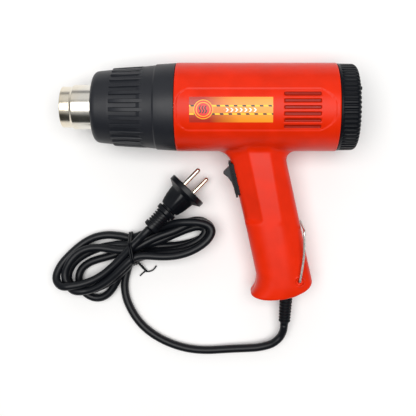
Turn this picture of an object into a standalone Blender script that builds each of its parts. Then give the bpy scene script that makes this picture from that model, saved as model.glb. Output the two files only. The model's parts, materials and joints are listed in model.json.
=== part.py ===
"""Heat gun: red pistol housing, steel nozzle, ribbed collar and cap, rocker switch, hanger and tied lead.

The gun is drawn in its own frame, in millimetres: X along the barrel from nozzle to cap, Y up the
handle to the barrel, Z across the two half shells. It then lies on its side on the surface Z = 0,
rolled until its handle touches. The lead is drawn straight on the surface.
"""

from math import asin, atan2, ceil, cos, hypot, pi, radians, sin, sqrt

import bmesh
import bpy
from mathutils import Matrix, Vector

MM = 0.001
GAP = 0.3  # between pieces that touch
RUN = 0.6  # between pieces that turn

# Barrel, stations along X
NOZZLE_TIP = -141.5
NOZZLE_STEP = -132.8
COLLAR_FRONT = -115.1
RIB_START = -99.4
RIB_END = -75.5
COLLAR_STEP = -64.2
HOUSING_FRONT = -47.8
HOUSING_REAR = 82.5
CAP_REAR = HOUSING_REAR + 16.5
BARREL_R = 36.4
WALL = 2.5
NOZZLE_R = 18.4
NOZZLE_LIP_R = 16.9
NOZZLE_WALL = 0.8
COLLAR_NOSE_R = BARREL_R - 6.8
COLLAR_RIB_R = BARREL_R - 3.4
COLLAR_BACK_R = BARREL_R - 0.6
COLLAR_CORNER = 4.5
COLLAR_RIBS = 30
COLLAR_RIB_HEIGHT = 1.0
CAP_R = BARREL_R - 0.6
CAP_CORNER = 4.0
CAP_WALL = 2.2
CAP_SLOTS = 8
CAP_NUB = 1.8
CAP_NUB_PROUD = 0.7
CAP_NUB_TURN = radians(59.0)
CAP_WELL = (7.0, 2.2)  # radius and depth of the seat for the cap's screw

# Handle: rows of y, front x, rear x, ridge front, ridge rear, half thickness
HANDLE_ROWS = (
    (-20.0, -15.0, 60.0, 8.0, 26.0, 17.2),
    (-36.0, -12.0, 54.0, 11.0, 28.6, 17.7),
    (-40.0, -6.6, 46.6, 11.8, 29.3, 17.9),
    (-47.0, -3.3, 43.2, 13.3, 30.5, 18.0),
    (-72.0, 2.5, 48.8, 18.6, 34.8, 18.2),
    (-100.0, 9.2, 54.9, 24.0, 39.6, 18.4),
    (-130.0, 15.7, 61.3, 29.0, 44.0, 18.7),
    (-142.0, 18.1, 64.1, 30.0, 45.4, 18.8),
    (-149.6, 17.3, 65.4, 29.0, 46.0, 18.8),
    (-154.3, 15.4, 62.3, 27.0, 45.0, 18.3),
    (-156.9, 11.9, 54.0, 24.0, 42.0, 17.1),
    (-159.0, 15.5, 40.5, 22.0, 33.0, 15.1),
)
HANDLE_RAKE = radians(12.8)
HANDLE_EDGE = 0.42  # how deep the front and rear facets start, as a share of the thickness

PANEL = (-45.6, 79.0, 16.4)
PANEL_DEPTH = 0.8
VENTS = 6
VENT_PITCH = 5.1
VENT_TOP = 12.2
VENT_X = (38.3, 67.0)
VENT_HEIGHT = 2.7
VENT_DEPTH = 1.0
LABEL = (-35.5, 29.5, 9.9)
LABEL_THICK = 0.25

# Screws: x, y, and how deep the head sits below the split
SCREWS = ((-30.0, 26.5), (-30.0, -26.5), (28.0, 26.5), (30.0, -26.5), (39.0, -98.0), (30.5, -146.0))
SCREW_R = 1.4
SCREW_HEAD_R = 2.7
SCREW_HEAD_Z = -13.0
SCREW_HEAD_H = 2.2
SCREW_TIP_Z = 9.0
BOSS_R = 4.5

# Rocker switch, in the front of the handle
SWITCH_TOP = (-5.6, -45.4)
SWITCH_LENGTH = 30.0
SWITCH_WIDTH = 14.0
SWITCH_FLANGE = 1.6
SWITCH_BODY = (26.6, 11.8, 20.0)
ROCKER_LENGTH = 25.0
ROCKER_WIDTH = 9.4
ROCKER_PIVOT = 2.5
ROCKER_TRAVEL = radians(24.0)
ROCKER_PIN_R = 1.0

# Hanger
HANGER_PIVOT = (53.5, -143.7)
HANGER_TOP = (56.7, -99.6)
HANGER_R = 1.0
HANGER_LEG_Z = 17.9
HANGER_SPREAD = 1.5
DIMPLE_R = 3.6
DIMPLE_DEPTH = 0.8

# Motor, fan and heater
MOTOR_R = 17.9
MOTOR_X = (-4.0, 48.0)
SHAFT_R = 1.6
BUSH_R = 4.0
FAN_X = (HOUSING_REAR - 24.0, HOUSING_REAR - 9.5)
FAN_R = 31.5
FAN_BLADES = 9
BLADE_CHORD = 15.0
SHROUD_X = (40.0, 54.0)
GRILLE_X = (HOUSING_REAR - 6.0, HOUSING_REAR - 4.0)
HUB_R = 8.0
COIL_R = 14.2
COIL_TURNS = 7
HEATER_X = (-124.0, -42.0)

# Lead: diameter, and what is on it
CORD_D = 6.8
RELIEF_R = 5.6
RELIEF_RINGS = 9
RELIEF_ROOT = (43.9, -156.5, 0.0)
RELIEF_TIP = (42.2, -185.4, -0.3)
LEAD_ROUTE = (
    (42.15, -184.7, 14.1), (41.7, -190.4, 12.9), (38.3, -198.2, 9.4), (30.6, -203.8, 6.0),
    (19.5, -206.8, 4.0), (8.0, -207.9, 3.5), (-6.0, -208.9, 3.5), (-25.5, -210.2, 3.5),
    (-42.0, -208.6, 3.5),
    (-57.0, -204.0, 3.5), (-70.5, -197.0, 3.5), (-81.5, -188.0, 3.5), (-89.5, -177.0, 3.5),
    (-94.6, -166.0, 3.5), (-96.4, -157.0, 3.5), (-96.5, -152.0, 3.5),
)
TAIL_ROUTE = ((-82.9, -112.6, 22.7), (-77.8, -107.5, 22.6), (-72.25, -101.9, 22.0))
HANK_OUTLINE = (
    (-84.0, -106.6), (-73.0, -106.2), (-60.0, -100.8), (-44.0, -95.0), (-28.0, -94.4), (-18.4, -100.0),
    (-16.6, -107.0),
    (-22.0, -115.0), (-34.0, -123.4), (-54.0, -129.6), (-74.0, -134.0), (-85.0, -140.0), (-92.0, -151.4),
    (-101.0, -151.4), (-104.0, -158.0), (-111.0, -165.6), (-120.0, -167.4), (-132.0, -163.0),
    (-148.0, -157.0),
    (-158.0, -148.0), (-157.0, -138.0), (-147.0, -123.0), (-136.0, -113.0), (-120.0, -106.6),
    (-104.0, -105.6), (-94.0, -105.6),
)
HANK_HEIGHT = 14.0
HANK_FLOOR = 0.2
TIE_AT = (-87.3, -119.4)
TIE_AXIS = radians(8.0)
TIE_WAIST = (24.0, 9.4)
TIE_R = 0.8

PLUG_DISC = (-41.2, -70.2)
PLUG_AXIS = radians(45.6)
PLUG_PITCH = radians(5.3)  # how far its pins point down
PLUG_ROLL = radians(33.0)
PLUG_HEIGHT = 17.9
PLUG_DISC_R = 17.5
PLUG_DISC_T = 5.0
PLUG_GRIP = ((5.6, 11.8, 9.4), (21.0, 7.9, 6.8))  # behind the face's middle, half width, half depth
PLUG_COLLAR = (23.0, 26.8, 7.8)
PLUG_LENGTH = 46.4
PIN_R = 2.0
PIN_LENGTH = 18.2
PIN_SPACING = 19.0

# What follows from the sizes above
REST_Y, REST_HALF = HANDLE_ROWS[8][0], HANDLE_ROWS[8][5]
GUN_ROLL = asin(BARREL_R / hypot(REST_Y, REST_HALF)) - atan2(REST_HALF, -REST_Y)
BORE_R = BARREL_R - WALL
RAKE_DOWN = Vector((sin(HANDLE_RAKE), -cos(HANDLE_RAKE), 0.0))
RAKE_OUT = Vector((-cos(HANDLE_RAKE), -sin(HANDLE_RAKE), 0.0))


# ---------------------------------------------------------------- scene and materials

def clear_scene():
    for old in list(bpy.data.objects):
        bpy.data.objects.remove(old, do_unlink=True)


def material(name, colour, roughness, metallic=0.0):
    found = bpy.data.materials.get(name)
    if found:
        return found
    made = bpy.data.materials.new(name)
    made.use_nodes = True
    shader = made.node_tree.nodes["Principled BSDF"]
    shader.inputs["Base Color"].default_value = (*colour, 1.0)
    shader.inputs["Roughness"].default_value = roughness
    shader.inputs["Metallic"].default_value = metallic
    made.diffuse_color = (*colour, 1.0)
    return made


def red_plastic():
    return material("red_plastic", (0.80, 0.045, 0.012), 0.38)


def black_plastic():
    return material("black_plastic", (0.035, 0.038, 0.045), 0.45)


def cord_rubber():
    return material("cord_rubber", (0.02, 0.022, 0.028), 0.5)


def polished_steel():
    return material("polished_steel", (0.75, 0.73, 0.68), 0.18, 1.0)


def zinc_steel():
    return material("zinc_steel", (0.62, 0.63, 0.64), 0.3, 1.0)


def pin_nickel():
    return material("pin_nickel", (0.78, 0.72, 0.6), 0.22, 1.0)


def brass():
    return material("brass", (0.78, 0.57, 0.25), 0.3, 1.0)


def mica():
    return material("mica", (0.62, 0.55, 0.40), 0.55)


def nichrome():
    return material("nichrome", (0.45, 0.42, 0.40), 0.35, 1.0)


def ferrite():
    return material("ferrite", (0.08, 0.08, 0.085), 0.7)


def print_film():
    return material("print_film", (0.85, 0.36, 0.03), 0.3)


def board_green():
    return material("board_green", (0.04, 0.22, 0.08), 0.5)


def capacitor_yellow():
    return material("capacitor_yellow", (0.75, 0.55, 0.08), 0.4)


def wire_blue():
    return material("wire_blue", (0.03, 0.12, 0.5), 0.45)


def wire_brown():
    return material("wire_brown", (0.20, 0.08, 0.03), 0.45)


# ---------------------------------------------------------------- solids

def solid(name, bm, finish, smooth=True):
    """Makes an object of a bmesh drawn in millimetres."""
    bmesh.ops.remove_doubles(bm, verts=bm.verts, dist=1e-4)
    bmesh.ops.recalc_face_normals(bm, faces=bm.faces)
    bmesh.ops.connect_verts_nonplanar(bm, angle_limit=radians(0.05), faces=bm.faces)
    bmesh.ops.scale(bm, vec=(MM, MM, MM), verts=bm.verts)
    mesh = bpy.data.meshes.new(name)
    bm.to_mesh(mesh)
    bm.free()
    made = bpy.data.objects.new(name, mesh)
    bpy.context.scene.collection.objects.link(made)
    mesh.materials.append(finish)
    if smooth:
        mesh.shade_smooth()
        mesh.set_sharp_from_angle(angle=radians(35.0))
    return made


def combine(target, tool, operation):
    """Applies one Boolean to the target's mesh and removes the tool."""
    step = target.modifiers.new(operation.lower(), "BOOLEAN")
    step.operation = operation
    step.solver = "EXACT"
    step.object = tool
    bpy.context.view_layer.update()
    evaluated = target.evaluated_get(bpy.context.evaluated_depsgraph_get())
    result = bpy.data.meshes.new_from_object(evaluated)
    target.modifiers.clear()
    result.name = target.name
    target.data = result
    bpy.data.objects.remove(tool, do_unlink=True)
    return target


def cut(target, tool):
    return combine(target, tool, "DIFFERENCE")


def join(target, tool):
    return combine(target, tool, "UNION")


def keep(target, tool):
    return combine(target, tool, "INTERSECT")


def bridge(bm, rings, closed=False):
    """Joins rings of equal count with quads, and caps the two ends unless the rings close."""
    count = len(rings[0])
    pairs = list(zip(rings, rings[1:]))
    if closed:
        pairs.append((rings[-1], rings[0]))
    for low, high in pairs:
        for i in range(count):
            j = (i + 1) % count
            corners = [low[i], low[j], high[j], high[i]]
            kept = [v for k, v in enumerate(corners) if v not in corners[:k]]
            if len(kept) > 2:
                bm.faces.new(kept)
    if not closed:
        for ring in (rings[0], rings[-1]):
            if len(set(ring)) > 2:
                bm.faces.new(ring)


def turned(name, profile, finish, sides=48, ring=True):
    """Turns a profile of (x, radius) round the barrel axis; a ring's profile closes on itself."""
    bm = bmesh.new()
    rings = []
    for x, radius in profile:
        if radius <= 0.0:
            rings.append([bm.verts.new((x, 0.0, 0.0))] * sides)
            continue
        turns = (2.0 * pi * (i + 0.5) / sides for i in range(sides))
        rings.append([bm.verts.new((x, radius * cos(a), radius * sin(a))) for a in turns])
    bridge(bm, rings, closed=ring)
    return solid(name, bm, finish)


def loft(name, loops, finish, smooth=True):
    bm = bmesh.new()
    bridge(bm, [[bm.verts.new(p) for p in loop] for loop in loops])
    return solid(name, bm, finish, smooth)


def prism(name, outline, low, high, finish, smooth=False):
    """Extrudes an outline of (x, y) from z = low to z = high."""
    return loft(name, [[(x, y, z) for x, y in outline] for z in (low, high)], finish, smooth)


def rod(name, start, end, radius, finish, sides=16):
    start, end = Vector(start), Vector(end)
    axis = (end - start).normalized()
    side = axis.orthogonal().normalized()
    across = axis.cross(side)
    turns = [2.0 * pi * i / sides for i in range(sides)]
    loops = [[p + radius * (cos(a) * side + sin(a) * across) for a in turns] for p in (start, end)]
    return loft(name, loops, finish)


def block(name, centre, along, out, sizes, finish):
    """A box with its first size along one direction, its second along Z and its third along out."""
    centre, along, out = Vector(centre), Vector(along), Vector(out)
    across = along.cross(out)
    half = [s / 2.0 for s in sizes]
    square = ((-1, -1), (1, -1), (1, 1), (-1, 1))
    loops = [
        [centre + a * half[0] * along + b * half[1] * across + end * half[2] * out for a, b in square]
        for end in (-1, 1)
    ]
    return loft(name, loops, finish, smooth=False)


def smooth_path(points, step, closed=False):
    """Points a step apart along a Catmull-Rom curve through the given ones."""
    route = [Vector(p) for p in points]
    count = len(route)
    fine = []
    spans = count if closed else count - 1
    for i in range(spans):
        a = route[(i - 1) % count] if closed or i > 0 else 2.0 * route[0] - route[1]
        b, c = route[i], route[(i + 1) % count]
        d = route[(i + 2) % count] if closed or i + 2 < count else 2.0 * route[-1] - route[-2]
        for k in range(12):
            t = k / 12.0
            fine.append(0.5 * (2 * b + (c - a) * t + (2 * a - 5 * b + 4 * c - d) * t * t
                               + (3 * b - a - 3 * c + d) * t ** 3))
    fine.append(route[0].copy() if closed else route[-1].copy())
    lengths = [0.0]
    for low, high in zip(fine, fine[1:]):
        lengths.append(lengths[-1] + (high - low).length)
    total = max(2, ceil(lengths[-1] / step))
    picked = []
    at = 0
    for k in range(total + 1):
        want = lengths[-1] * k / total
        while at < len(lengths) - 2 and lengths[at + 1] < want:
            at += 1
        part = (want - lengths[at]) / max(lengths[at + 1] - lengths[at], 1e-9)
        picked.append(fine[at].lerp(fine[at + 1], part))
    return picked[:-1] if closed else picked


def tube(name, points, radius, finish, resolution=2, closed=False):
    """A round wire or cord: a bevelled curve with filled caps."""
    curve = bpy.data.curves.new(name, "CURVE")
    curve.dimensions = "3D"
    curve.bevel_depth = radius * MM
    curve.bevel_resolution = resolution
    curve.use_fill_caps = True
    spline = curve.splines.new("POLY")
    spline.points.add(len(points) - 1)
    for target, source in zip(spline.points, points):
        target.co = (*(Vector(source) * MM), 1.0)
    spline.use_cyclic_u = closed
    curve.materials.append(finish)
    made = bpy.data.objects.new(name, curve)
    bpy.context.scene.collection.objects.link(made)
    return made


def meshed(tube_object):
    """Turns a tube into a mesh object, so that other solids can be joined to it."""
    bpy.context.view_layer.update()
    evaluated = tube_object.evaluated_get(bpy.context.evaluated_depsgraph_get())
    mesh = bpy.data.meshes.new_from_object(evaluated)
    name = tube_object.name
    bpy.data.objects.remove(tube_object, do_unlink=True)
    bm = bmesh.new()
    bm.from_mesh(mesh)
    bmesh.ops.remove_doubles(bm, verts=bm.verts, dist=1e-7)
    bm.to_mesh(mesh)
    bm.free()
    made = bpy.data.objects.new(name, mesh)
    bpy.context.scene.collection.objects.link(made)
    return made


def stadium(x0, x1, y, half, steps=3):
    """Outline of a slot with round ends."""
    points = []
    for centre, start in ((x1 - half, -pi / 2.0), (x0 + half, pi / 2.0)):
        for k in range(steps + 1):
            a = start + pi * k / steps
            points.append((centre + half * cos(a), y + half * sin(a)))
    return points


def set_pivot(piece, pivot):
    """Moves a piece's origin to a point on its joint's axis."""
    shift = Vector(pivot) * MM
    piece.data.transform(Matrix.Translation(-shift))
    piece.location = shift
    return piece


# ---------------------------------------------------------------- housing

def handle_loop(row, inset=0.0):
    """One slice of the handle: front edge, flat side strip and rear edge, mirrored in Z."""
    y, front, rear, ridge_front, ridge_rear, half = row
    front, rear, half = front + inset, rear - inset, half - inset
    shoulder = HANDLE_EDGE * half
    near = (
        (front, shoulder * 0.6), (front + 5.0, half * 0.72), (ridge_front, half), (ridge_rear, half),
        (rear - 6.0, half * 0.78), (rear - 0.8, shoulder), (rear, shoulder * 0.4),
    )
    far = [(x, -z) for x, z in reversed(near)]
    return [(x, y, z) for x, z in (*near, *far)]


def handle_solid(inset=0.0):
    rows = list(HANDLE_ROWS)
    if inset:
        low = rows[-1]
        rows[-1] = (low[0] + inset, *low[1:])
        rows[0] = (-8.0, *rows[0][1:])
    return loft("handle", [handle_loop(row, inset) for row in rows], red_plastic())


def half_space(side):
    """A box that holds everything on one side of the split plane."""
    far = 60.0
    low, high = (GAP / 2.0, far) if side > 0 else (-far, -GAP / 2.0)
    outline = ((-160.0, -200.0), (160.0, -200.0), (160.0, 60.0), (-160.0, 60.0))
    return prism("half", outline, low, high, red_plastic())


def panel_cutter(side):
    """The shallow panel's shape: a long pad with bowed ends, down to its floor's radius."""
    x0, x1, half = PANEL
    bow = 5.0
    outline = []
    for end, sign in ((x1, 1.0), (x0, -1.0)):
        for k in range(7):
            t = -1.0 + 2.0 * k / 6.0
            outline.append((end - sign * bow * t * t * abs(t), sign * half * t))
    low, high = (20.0, 45.0) if side > 0 else (-45.0, -20.0)
    cutter = prism("panel", outline, low, high, red_plastic())
    front, rear, floor = x0 - 20.0, x1 + 20.0, BARREL_R - PANEL_DEPTH
    profile = ((front, 0), (front, floor), (rear, floor), (rear, 0))
    return cut(cutter, turned("core", profile, red_plastic(), 52, ring=False))


def vent_cutters(side):
    floor = BARREL_R - PANEL_DEPTH - VENT_DEPTH
    for k in range(VENTS):
        y = VENT_TOP - k * VENT_PITCH
        low = sqrt(floor * floor - y * y)
        outline = stadium(VENT_X[0], VENT_X[1], y, VENT_HEIGHT / 2.0)
        span = (low, 45.0) if side > 0 else (-45.0, -low)
        yield prism("vent", outline, *span, red_plastic())


def boss(at):
    """A screw boss, straight across the housing; the core is cut away round it."""
    x, y = at
    return rod("boss", (x, y, -45.0), (x, y, 45.0), BOSS_R, red_plastic(), 10)


def screw_cutters(at, side):
    x, y = at
    hole = SCREW_R + GAP
    if side > 0:
        yield rod("hole", (x, y, -1.0), (x, y, SCREW_TIP_Z + 1.0), hole, red_plastic(), 10)
        return
    yield rod("hole", (x, y, SCREW_HEAD_Z - 1.0), (x, y, 1.0), hole, red_plastic(), 10)
    yield rod("sink", (x, y, SCREW_HEAD_Z), (x, y, -45.0), SCREW_HEAD_R + GAP, red_plastic(), 12)


def switch_place(down, out):
    """A point given by its distance down the switch from its top end and out of its flange's face."""
    return Vector((*SWITCH_TOP, 0.0)) + down * RAKE_DOWN + out * RAKE_OUT


def switch_cutter():
    length, width, depth = SWITCH_BODY
    centre = switch_place(SWITCH_LENGTH / 2.0, -depth / 2.0 - SWITCH_FLANGE + 6.0)
    size = (length + 2 * GAP, width + 2 * GAP, depth + 12.0 + 2 * GAP)
    return block("switch_hole", centre, RAKE_DOWN, RAKE_OUT, size, red_plastic())


def flange_cutter():
    """A flat seat for the switch's flange."""
    size = (SWITCH_LENGTH + 2 * GAP, SWITCH_WIDTH + 2 * GAP, 8.0)
    centre = switch_place(SWITCH_LENGTH / 2.0, -SWITCH_FLANGE - GAP + size[2] / 2.0)
    return block("seat", centre, RAKE_DOWN, RAKE_OUT, size, red_plastic())


def relief_axis():
    root, tip = Vector(RELIEF_ROOT), Vector(RELIEF_TIP)
    return root, tip, (tip - root).normalized()


def housing_half(name, side):
    barrel = turned("barrel", ((HOUSING_FRONT, 0), (HOUSING_FRONT, BARREL_R), (HOUSING_REAR, BARREL_R),
                               (HOUSING_REAR, 0)), red_plastic(), 52, ring=False)
    shell = join(barrel, handle_solid())
    shell.name = name
    bore = turned("bore", ((HOUSING_FRONT - 5, 0), (HOUSING_FRONT - 5, BORE_R), (HOUSING_REAR + 5, BORE_R),
                           (HOUSING_REAR + 5, 0)), red_plastic(), 52, ring=False)
    core = join(bore, handle_solid(WALL))
    for at in SCREWS:
        cut(core, boss(at))
    cut(shell, core)
    keep(shell, half_space(side))
    cut(shell, panel_cutter(side))
    for cutter in vent_cutters(side):
        cut(shell, cutter)
    for at in SCREWS:
        for cutter in screw_cutters(at, side):
            cut(shell, cutter)
    cut(shell, switch_cutter())
    cut(shell, flange_cutter())
    root, tip, axis = relief_axis()
    cut(shell, rod("relief_hole", root - 8.0 * axis, tip, RELIEF_R + GAP, red_plastic(), 16))
    x, y = HANGER_PIVOT
    pivot_r = HANGER_R + 0.35
    cut(shell, rod("pivot_hole", (x, y, 10.0 * side), (x, y, 30.0 * side), pivot_r, red_plastic(), 12))
    dimple = handle_half_at(y) - DIMPLE_DEPTH
    cut(shell, rod("dimple", (x, y, dimple * side), (x, y, 30.0 * side), DIMPLE_R, red_plastic(), 16))
    shell.data.materials.clear()
    shell.data.materials.append(red_plastic())
    shell.data.shade_smooth()
    shell.data.set_sharp_from_angle(angle=radians(35.0))
    return shell


def handle_half_at(y):
    """The handle's height over the split where the hanger pivots, on its rear facet."""
    for high, low in zip(HANDLE_ROWS, HANDLE_ROWS[1:]):
        if low[0] <= y <= high[0]:
            share = (high[0] - y) / (high[0] - low[0])
            rear = high[2] + share * (low[2] - high[2])
            ridge = high[4] + share * (low[4] - high[4])
            half = high[5] + share * (low[5] - high[5])
            slope = (HANGER_PIVOT[0] - ridge) / (rear - 6.0 - ridge)
            return half * (1.0 - 0.22 * min(max(slope, 0.0), 1.0))
    return HANDLE_ROWS[-1][5]


def housing_screw(name, at):
    x, y = at
    head = SCREW_HEAD_Z - GAP
    shank = rod(name, (x, y, head - 0.4), (x, y, SCREW_TIP_Z), SCREW_R, zinc_steel(), 8)
    join(shank, rod("head", (x, y, head - SCREW_HEAD_H), (x, y, head), SCREW_HEAD_R, zinc_steel(), 12))
    slot = block("slot", (x, y, head - SCREW_HEAD_H), (1, 0, 0), (0, 0, 1), (3.6, 0.8, 1.8), zinc_steel())
    return cut(shank, slot)


def label_plate():
    """A thin plate bent to the barrel, sunk in the near panel."""
    x0, x1, half = LABEL
    inner = BARREL_R - PANEL_DEPTH + GAP
    outer = inner + LABEL_THICK
    steps = 10
    top, bottom = asin(half / outer), -asin(half / outer)
    loops = []
    for x in (x0, x1):
        turns = [bottom + (top - bottom) * k / steps for k in range(steps + 1)]
        loop = [(x, outer * sin(a), outer * cos(a)) for a in turns]
        loop += [(x, inner * sin(a), inner * cos(a)) for a in reversed(turns)]
        loops.append(loop)
    return loft("label_plate", loops, print_film())


# ---------------------------------------------------------------- nozzle and collar

def nozzle_tube():
    t = NOZZLE_WALL
    back = HEATER_X[1] + 4.0
    profile = (
        (NOZZLE_TIP, NOZZLE_LIP_R), (NOZZLE_STEP, NOZZLE_LIP_R), (NOZZLE_STEP + 1.2, NOZZLE_R),
        (back, NOZZLE_R), (back, NOZZLE_R - t), (NOZZLE_STEP + 1.2, NOZZLE_R - t),
        (NOZZLE_STEP, NOZZLE_LIP_R - t), (NOZZLE_TIP, NOZZLE_LIP_R - t),
    )
    return turned("nozzle_tube", profile, polished_steel(), 32)


def arc(cx, cr, radius, start, end, steps):
    turns = (start + (end - start) * k / steps for k in range(steps + 1))
    return [(cx + radius * cos(a), cr + radius * sin(a)) for a in turns]


def front_collar():
    mouth = NOZZLE_R + 0.9
    corner = arc(COLLAR_FRONT + COLLAR_CORNER, COLLAR_NOSE_R - COLLAR_CORNER, COLLAR_CORNER, pi, pi / 2.0, 3)
    spigot = BORE_R - GAP
    back_in = BARREL_R - 5.0
    outer = [
        *corner, (RIB_START, COLLAR_RIB_R - 2.2), (RIB_END, COLLAR_RIB_R),
        (COLLAR_STEP, COLLAR_BACK_R - 1.4),
        (COLLAR_STEP + 0.8, COLLAR_BACK_R - 0.6), (HOUSING_FRONT - GAP, COLLAR_BACK_R),
        (HOUSING_FRONT - GAP, spigot), (HOUSING_FRONT + 6.0, spigot), (HOUSING_FRONT + 6.0, back_in),
    ]
    inner = [(COLLAR_STEP, back_in), (RIB_START, COLLAR_NOSE_R - WALL), (COLLAR_FRONT + WALL, 24.0),
             (COLLAR_FRONT + WALL, mouth), (COLLAR_FRONT, mouth)]
    collar = turned("front_collar", [*outer, *inner], black_plastic(), 36)
    bm = bmesh.new()
    half = radians(360.0 / COLLAR_RIBS / 4.0)
    for k in range(COLLAR_RIBS):
        middle = 2.0 * pi * k / COLLAR_RIBS
        sections = ((RIB_START + 0.6, COLLAR_RIB_R - 2.2 + COLLAR_RIB_HEIGHT), (RIB_END, COLLAR_RIB_R + 0.1))
        rings = []
        for x, top in sections:
            corners = ((top - 3.0, -half), (top, -half), (top, half), (top - 3.0, half))
            rings.append([bm.verts.new((x, r * cos(middle + a), r * sin(middle + a))) for r, a in corners])
        bridge(bm, rings)
    return join(collar, solid("ribs", bm, black_plastic(), smooth=False))


def tube_mount_ring():
    """A steel spider that carries the hot tube inside the housing."""
    x = HOUSING_FRONT + 8.0
    inner, outer = NOZZLE_R + GAP, BORE_R - GAP
    profile = ((x, inner), (x + 1.2, inner), (x + 1.2, outer), (x, outer))
    ring = turned("tube_mount_ring", profile, zinc_steel(), 28)
    for k in range(6):
        a = radians(30.0 + 60.0 * k)
        middle = (inner + outer) / 2.0
        y, z = middle * cos(a), middle * sin(a)
        cut(ring, rod("vent", (x - 3, y, z), (x + 4, y, z), 5.4, zinc_steel(), 8))
    return ring


# ---------------------------------------------------------------- rear cap and fan

def sector(x0, x1, low, high, middle, half, finish, steps=2):
    """A solid between two radii and two angles round the barrel axis."""
    turns = [middle - half + 2.0 * half * k / steps for k in range(steps + 1)]
    loops = []
    for x in (x0, x1):
        loop = [(x, high * cos(a), high * sin(a)) for a in turns]
        loop += [(x, low * cos(a), low * sin(a)) for a in reversed(turns)]
        loops.append(loop)
    return loft("sector", loops, finish, smooth=False)


def rear_cap():
    front = HOUSING_REAR + RUN
    inner = CAP_R - CAP_WALL
    corner = arc(CAP_REAR - CAP_CORNER, CAP_R - CAP_CORNER, CAP_CORNER, pi / 2.0, 0.0, 3)
    bore = SHAFT_R + 2.2 + GAP
    well_r, well = CAP_WELL
    profile = [
        (front, CAP_R), *corner, (CAP_REAR, well_r), (CAP_REAR - well, well_r), (CAP_REAR - well, bore),
        (CAP_REAR - well - CAP_WALL, bore), (CAP_REAR - well - CAP_WALL, well_r + 2.0),
        (CAP_REAR - CAP_WALL, well_r + 2.6), (CAP_REAR - CAP_WALL, inner - 1.4), (front, inner),
    ]
    cap = turned("rear_cap", profile, black_plastic(), 36)
    for k in range(CAP_SLOTS):
        middle = 2.0 * pi * (k + 0.5) / CAP_SLOTS
        cut(cap, sector(CAP_REAR - 8.0, CAP_REAR + 4.0, 11.0, 27.0, middle, radians(10.0), black_plastic()))
    radial = Vector((0.0, cos(CAP_NUB_TURN), sin(CAP_NUB_TURN)))
    low = Vector((CAP_REAR - 2.0, 0.0, 0.0)) + radial * (CAP_R - CAP_CORNER)
    nub = rod("nub", low, low + Vector((2.0 + CAP_NUB_PROUD, 0.0, 0.0)), CAP_NUB / 2.0, black_plastic(), 10)
    return join(cap, nub)


def cap_screw():
    """The screw that the cap turns on, driven into the grille's boss."""
    seat = CAP_REAR - CAP_WELL[1] + GAP
    shank = rod("cap_screw", (GRILLE_X[1] + 3.0, 0, 0), (seat + 0.4, 0, 0), 1.4, zinc_steel(), 12)
    join(shank, rod("head", (seat, 0, 0), (seat + 1.4, 0, 0), 5.2, zinc_steel(), 14))
    for along in ((0, 1, 0), (0, 0, 1)):
        cut(shank, block("slot", (seat + 1.4, 0, 0), along, (1, 0, 0), (5.0, 0.9, 1.6), zinc_steel()))
    return shank


def air_grille():
    """The fixed intake plate: a rim in the barrel's mouth, slots, and the boss that the cap turns on."""
    x0, x1 = GRILLE_X
    rim, boss_r = BORE_R - GAP, SHAFT_R + 2.2
    spigot = CAP_R - CAP_WALL - 1.4 - RUN
    hole = 1.4 + GAP
    boss_end = CAP_REAR - CAP_WELL[1]
    profile = (
        (x0, hole), (x0, rim), (HOUSING_REAR - 3.0, rim), (HOUSING_REAR + 8.0, spigot),
        (HOUSING_REAR + 8.0, spigot - 1.8), (x1, rim - 2.8), (x1, boss_r), (boss_end, boss_r),
        (boss_end, hole),
    )
    plate = turned("air_grille", profile, black_plastic(), 32)
    for k in range(CAP_SLOTS):
        middle = 2.0 * pi * (k + 0.5) / CAP_SLOTS
        cut(plate, sector(x0 - 3.0, x1 + 3.0, 11.0, 27.0, middle, radians(10.0), black_plastic()))
    return plate


def impeller():
    """A bladed wheel pressed on the motor shaft."""
    x0, x1 = FAN_X
    bore = SHAFT_R + GAP
    profile = ((x0, bore), (x0, HUB_R), (x1, HUB_R - 2.0), (x1, bore))
    wheel = turned("impeller", profile, black_plastic(), 24)
    reach = sqrt(FAN_R ** 2 - (BLADE_CHORD / 2.0) ** 2)
    root = HUB_R - 3.0
    for k in range(FAN_BLADES):
        a = 2.0 * pi * (k + 0.25) / FAN_BLADES
        radial = Vector((0.0, cos(a), sin(a)))
        pitch = (Vector((1.0, 0.0, 0.0)) + Vector((0.0, -sin(a), cos(a)))).normalized()
        centre = Vector(((x0 + x1) / 2.0, 0.0, 0.0)) + radial * (root + reach) / 2.0
        join(wheel, block("blade", centre, pitch, radial, (BLADE_CHORD, 1.3, reach - root), black_plastic()))
    return wheel


def fan_shroud():
    """The motor's mount: a sleeve on the motor, a rim in the barrel and the vanes between them."""
    x0, x1 = SHROUD_X
    inner, outer = MOTOR_R + GAP, BORE_R - GAP
    ring = ((x0, outer - 1.6), (x1, outer - 1.6), (x1, outer), (x0, outer))
    rim = turned("fan_shroud", ring, black_plastic(), 32)
    collar = ((x0, inner), (x1 - 6, inner), (x1 - 6, inner + 1.6), (x0, inner + 1.6))
    sleeve = turned("sleeve", collar, black_plastic(), 24)
    low, high = inner + 1.0, outer - 0.8
    for k in range(6):
        join(rim, sector(x0 + 1, x1 - 7, low, high, pi * k / 3.0, radians(2.2), black_plastic(), 1))
    return join(rim, sleeve)


# ---------------------------------------------------------------- motor

def motor_can():
    x0, x1 = MOTOR_X
    r, t = MOTOR_R, 1.2
    bore = BUSH_R + GAP
    profile = ((x0 + 4, r), (x1, r), (x1, bore), (x1 - t, bore), (x1 - t, r - t), (x0 + 4, r - t))
    return turned("motor_can", profile, zinc_steel(), 24)


def motor_magnet(name, turn):
    x0, x1 = MOTOR_X
    outer = MOTOR_R - 1.2 - GAP
    piece = sector(x0 + 10, x1 - 8, outer - 3.2, outer, turn, radians(62.0), ferrite(), 10)
    piece.name = name
    return piece


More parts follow.
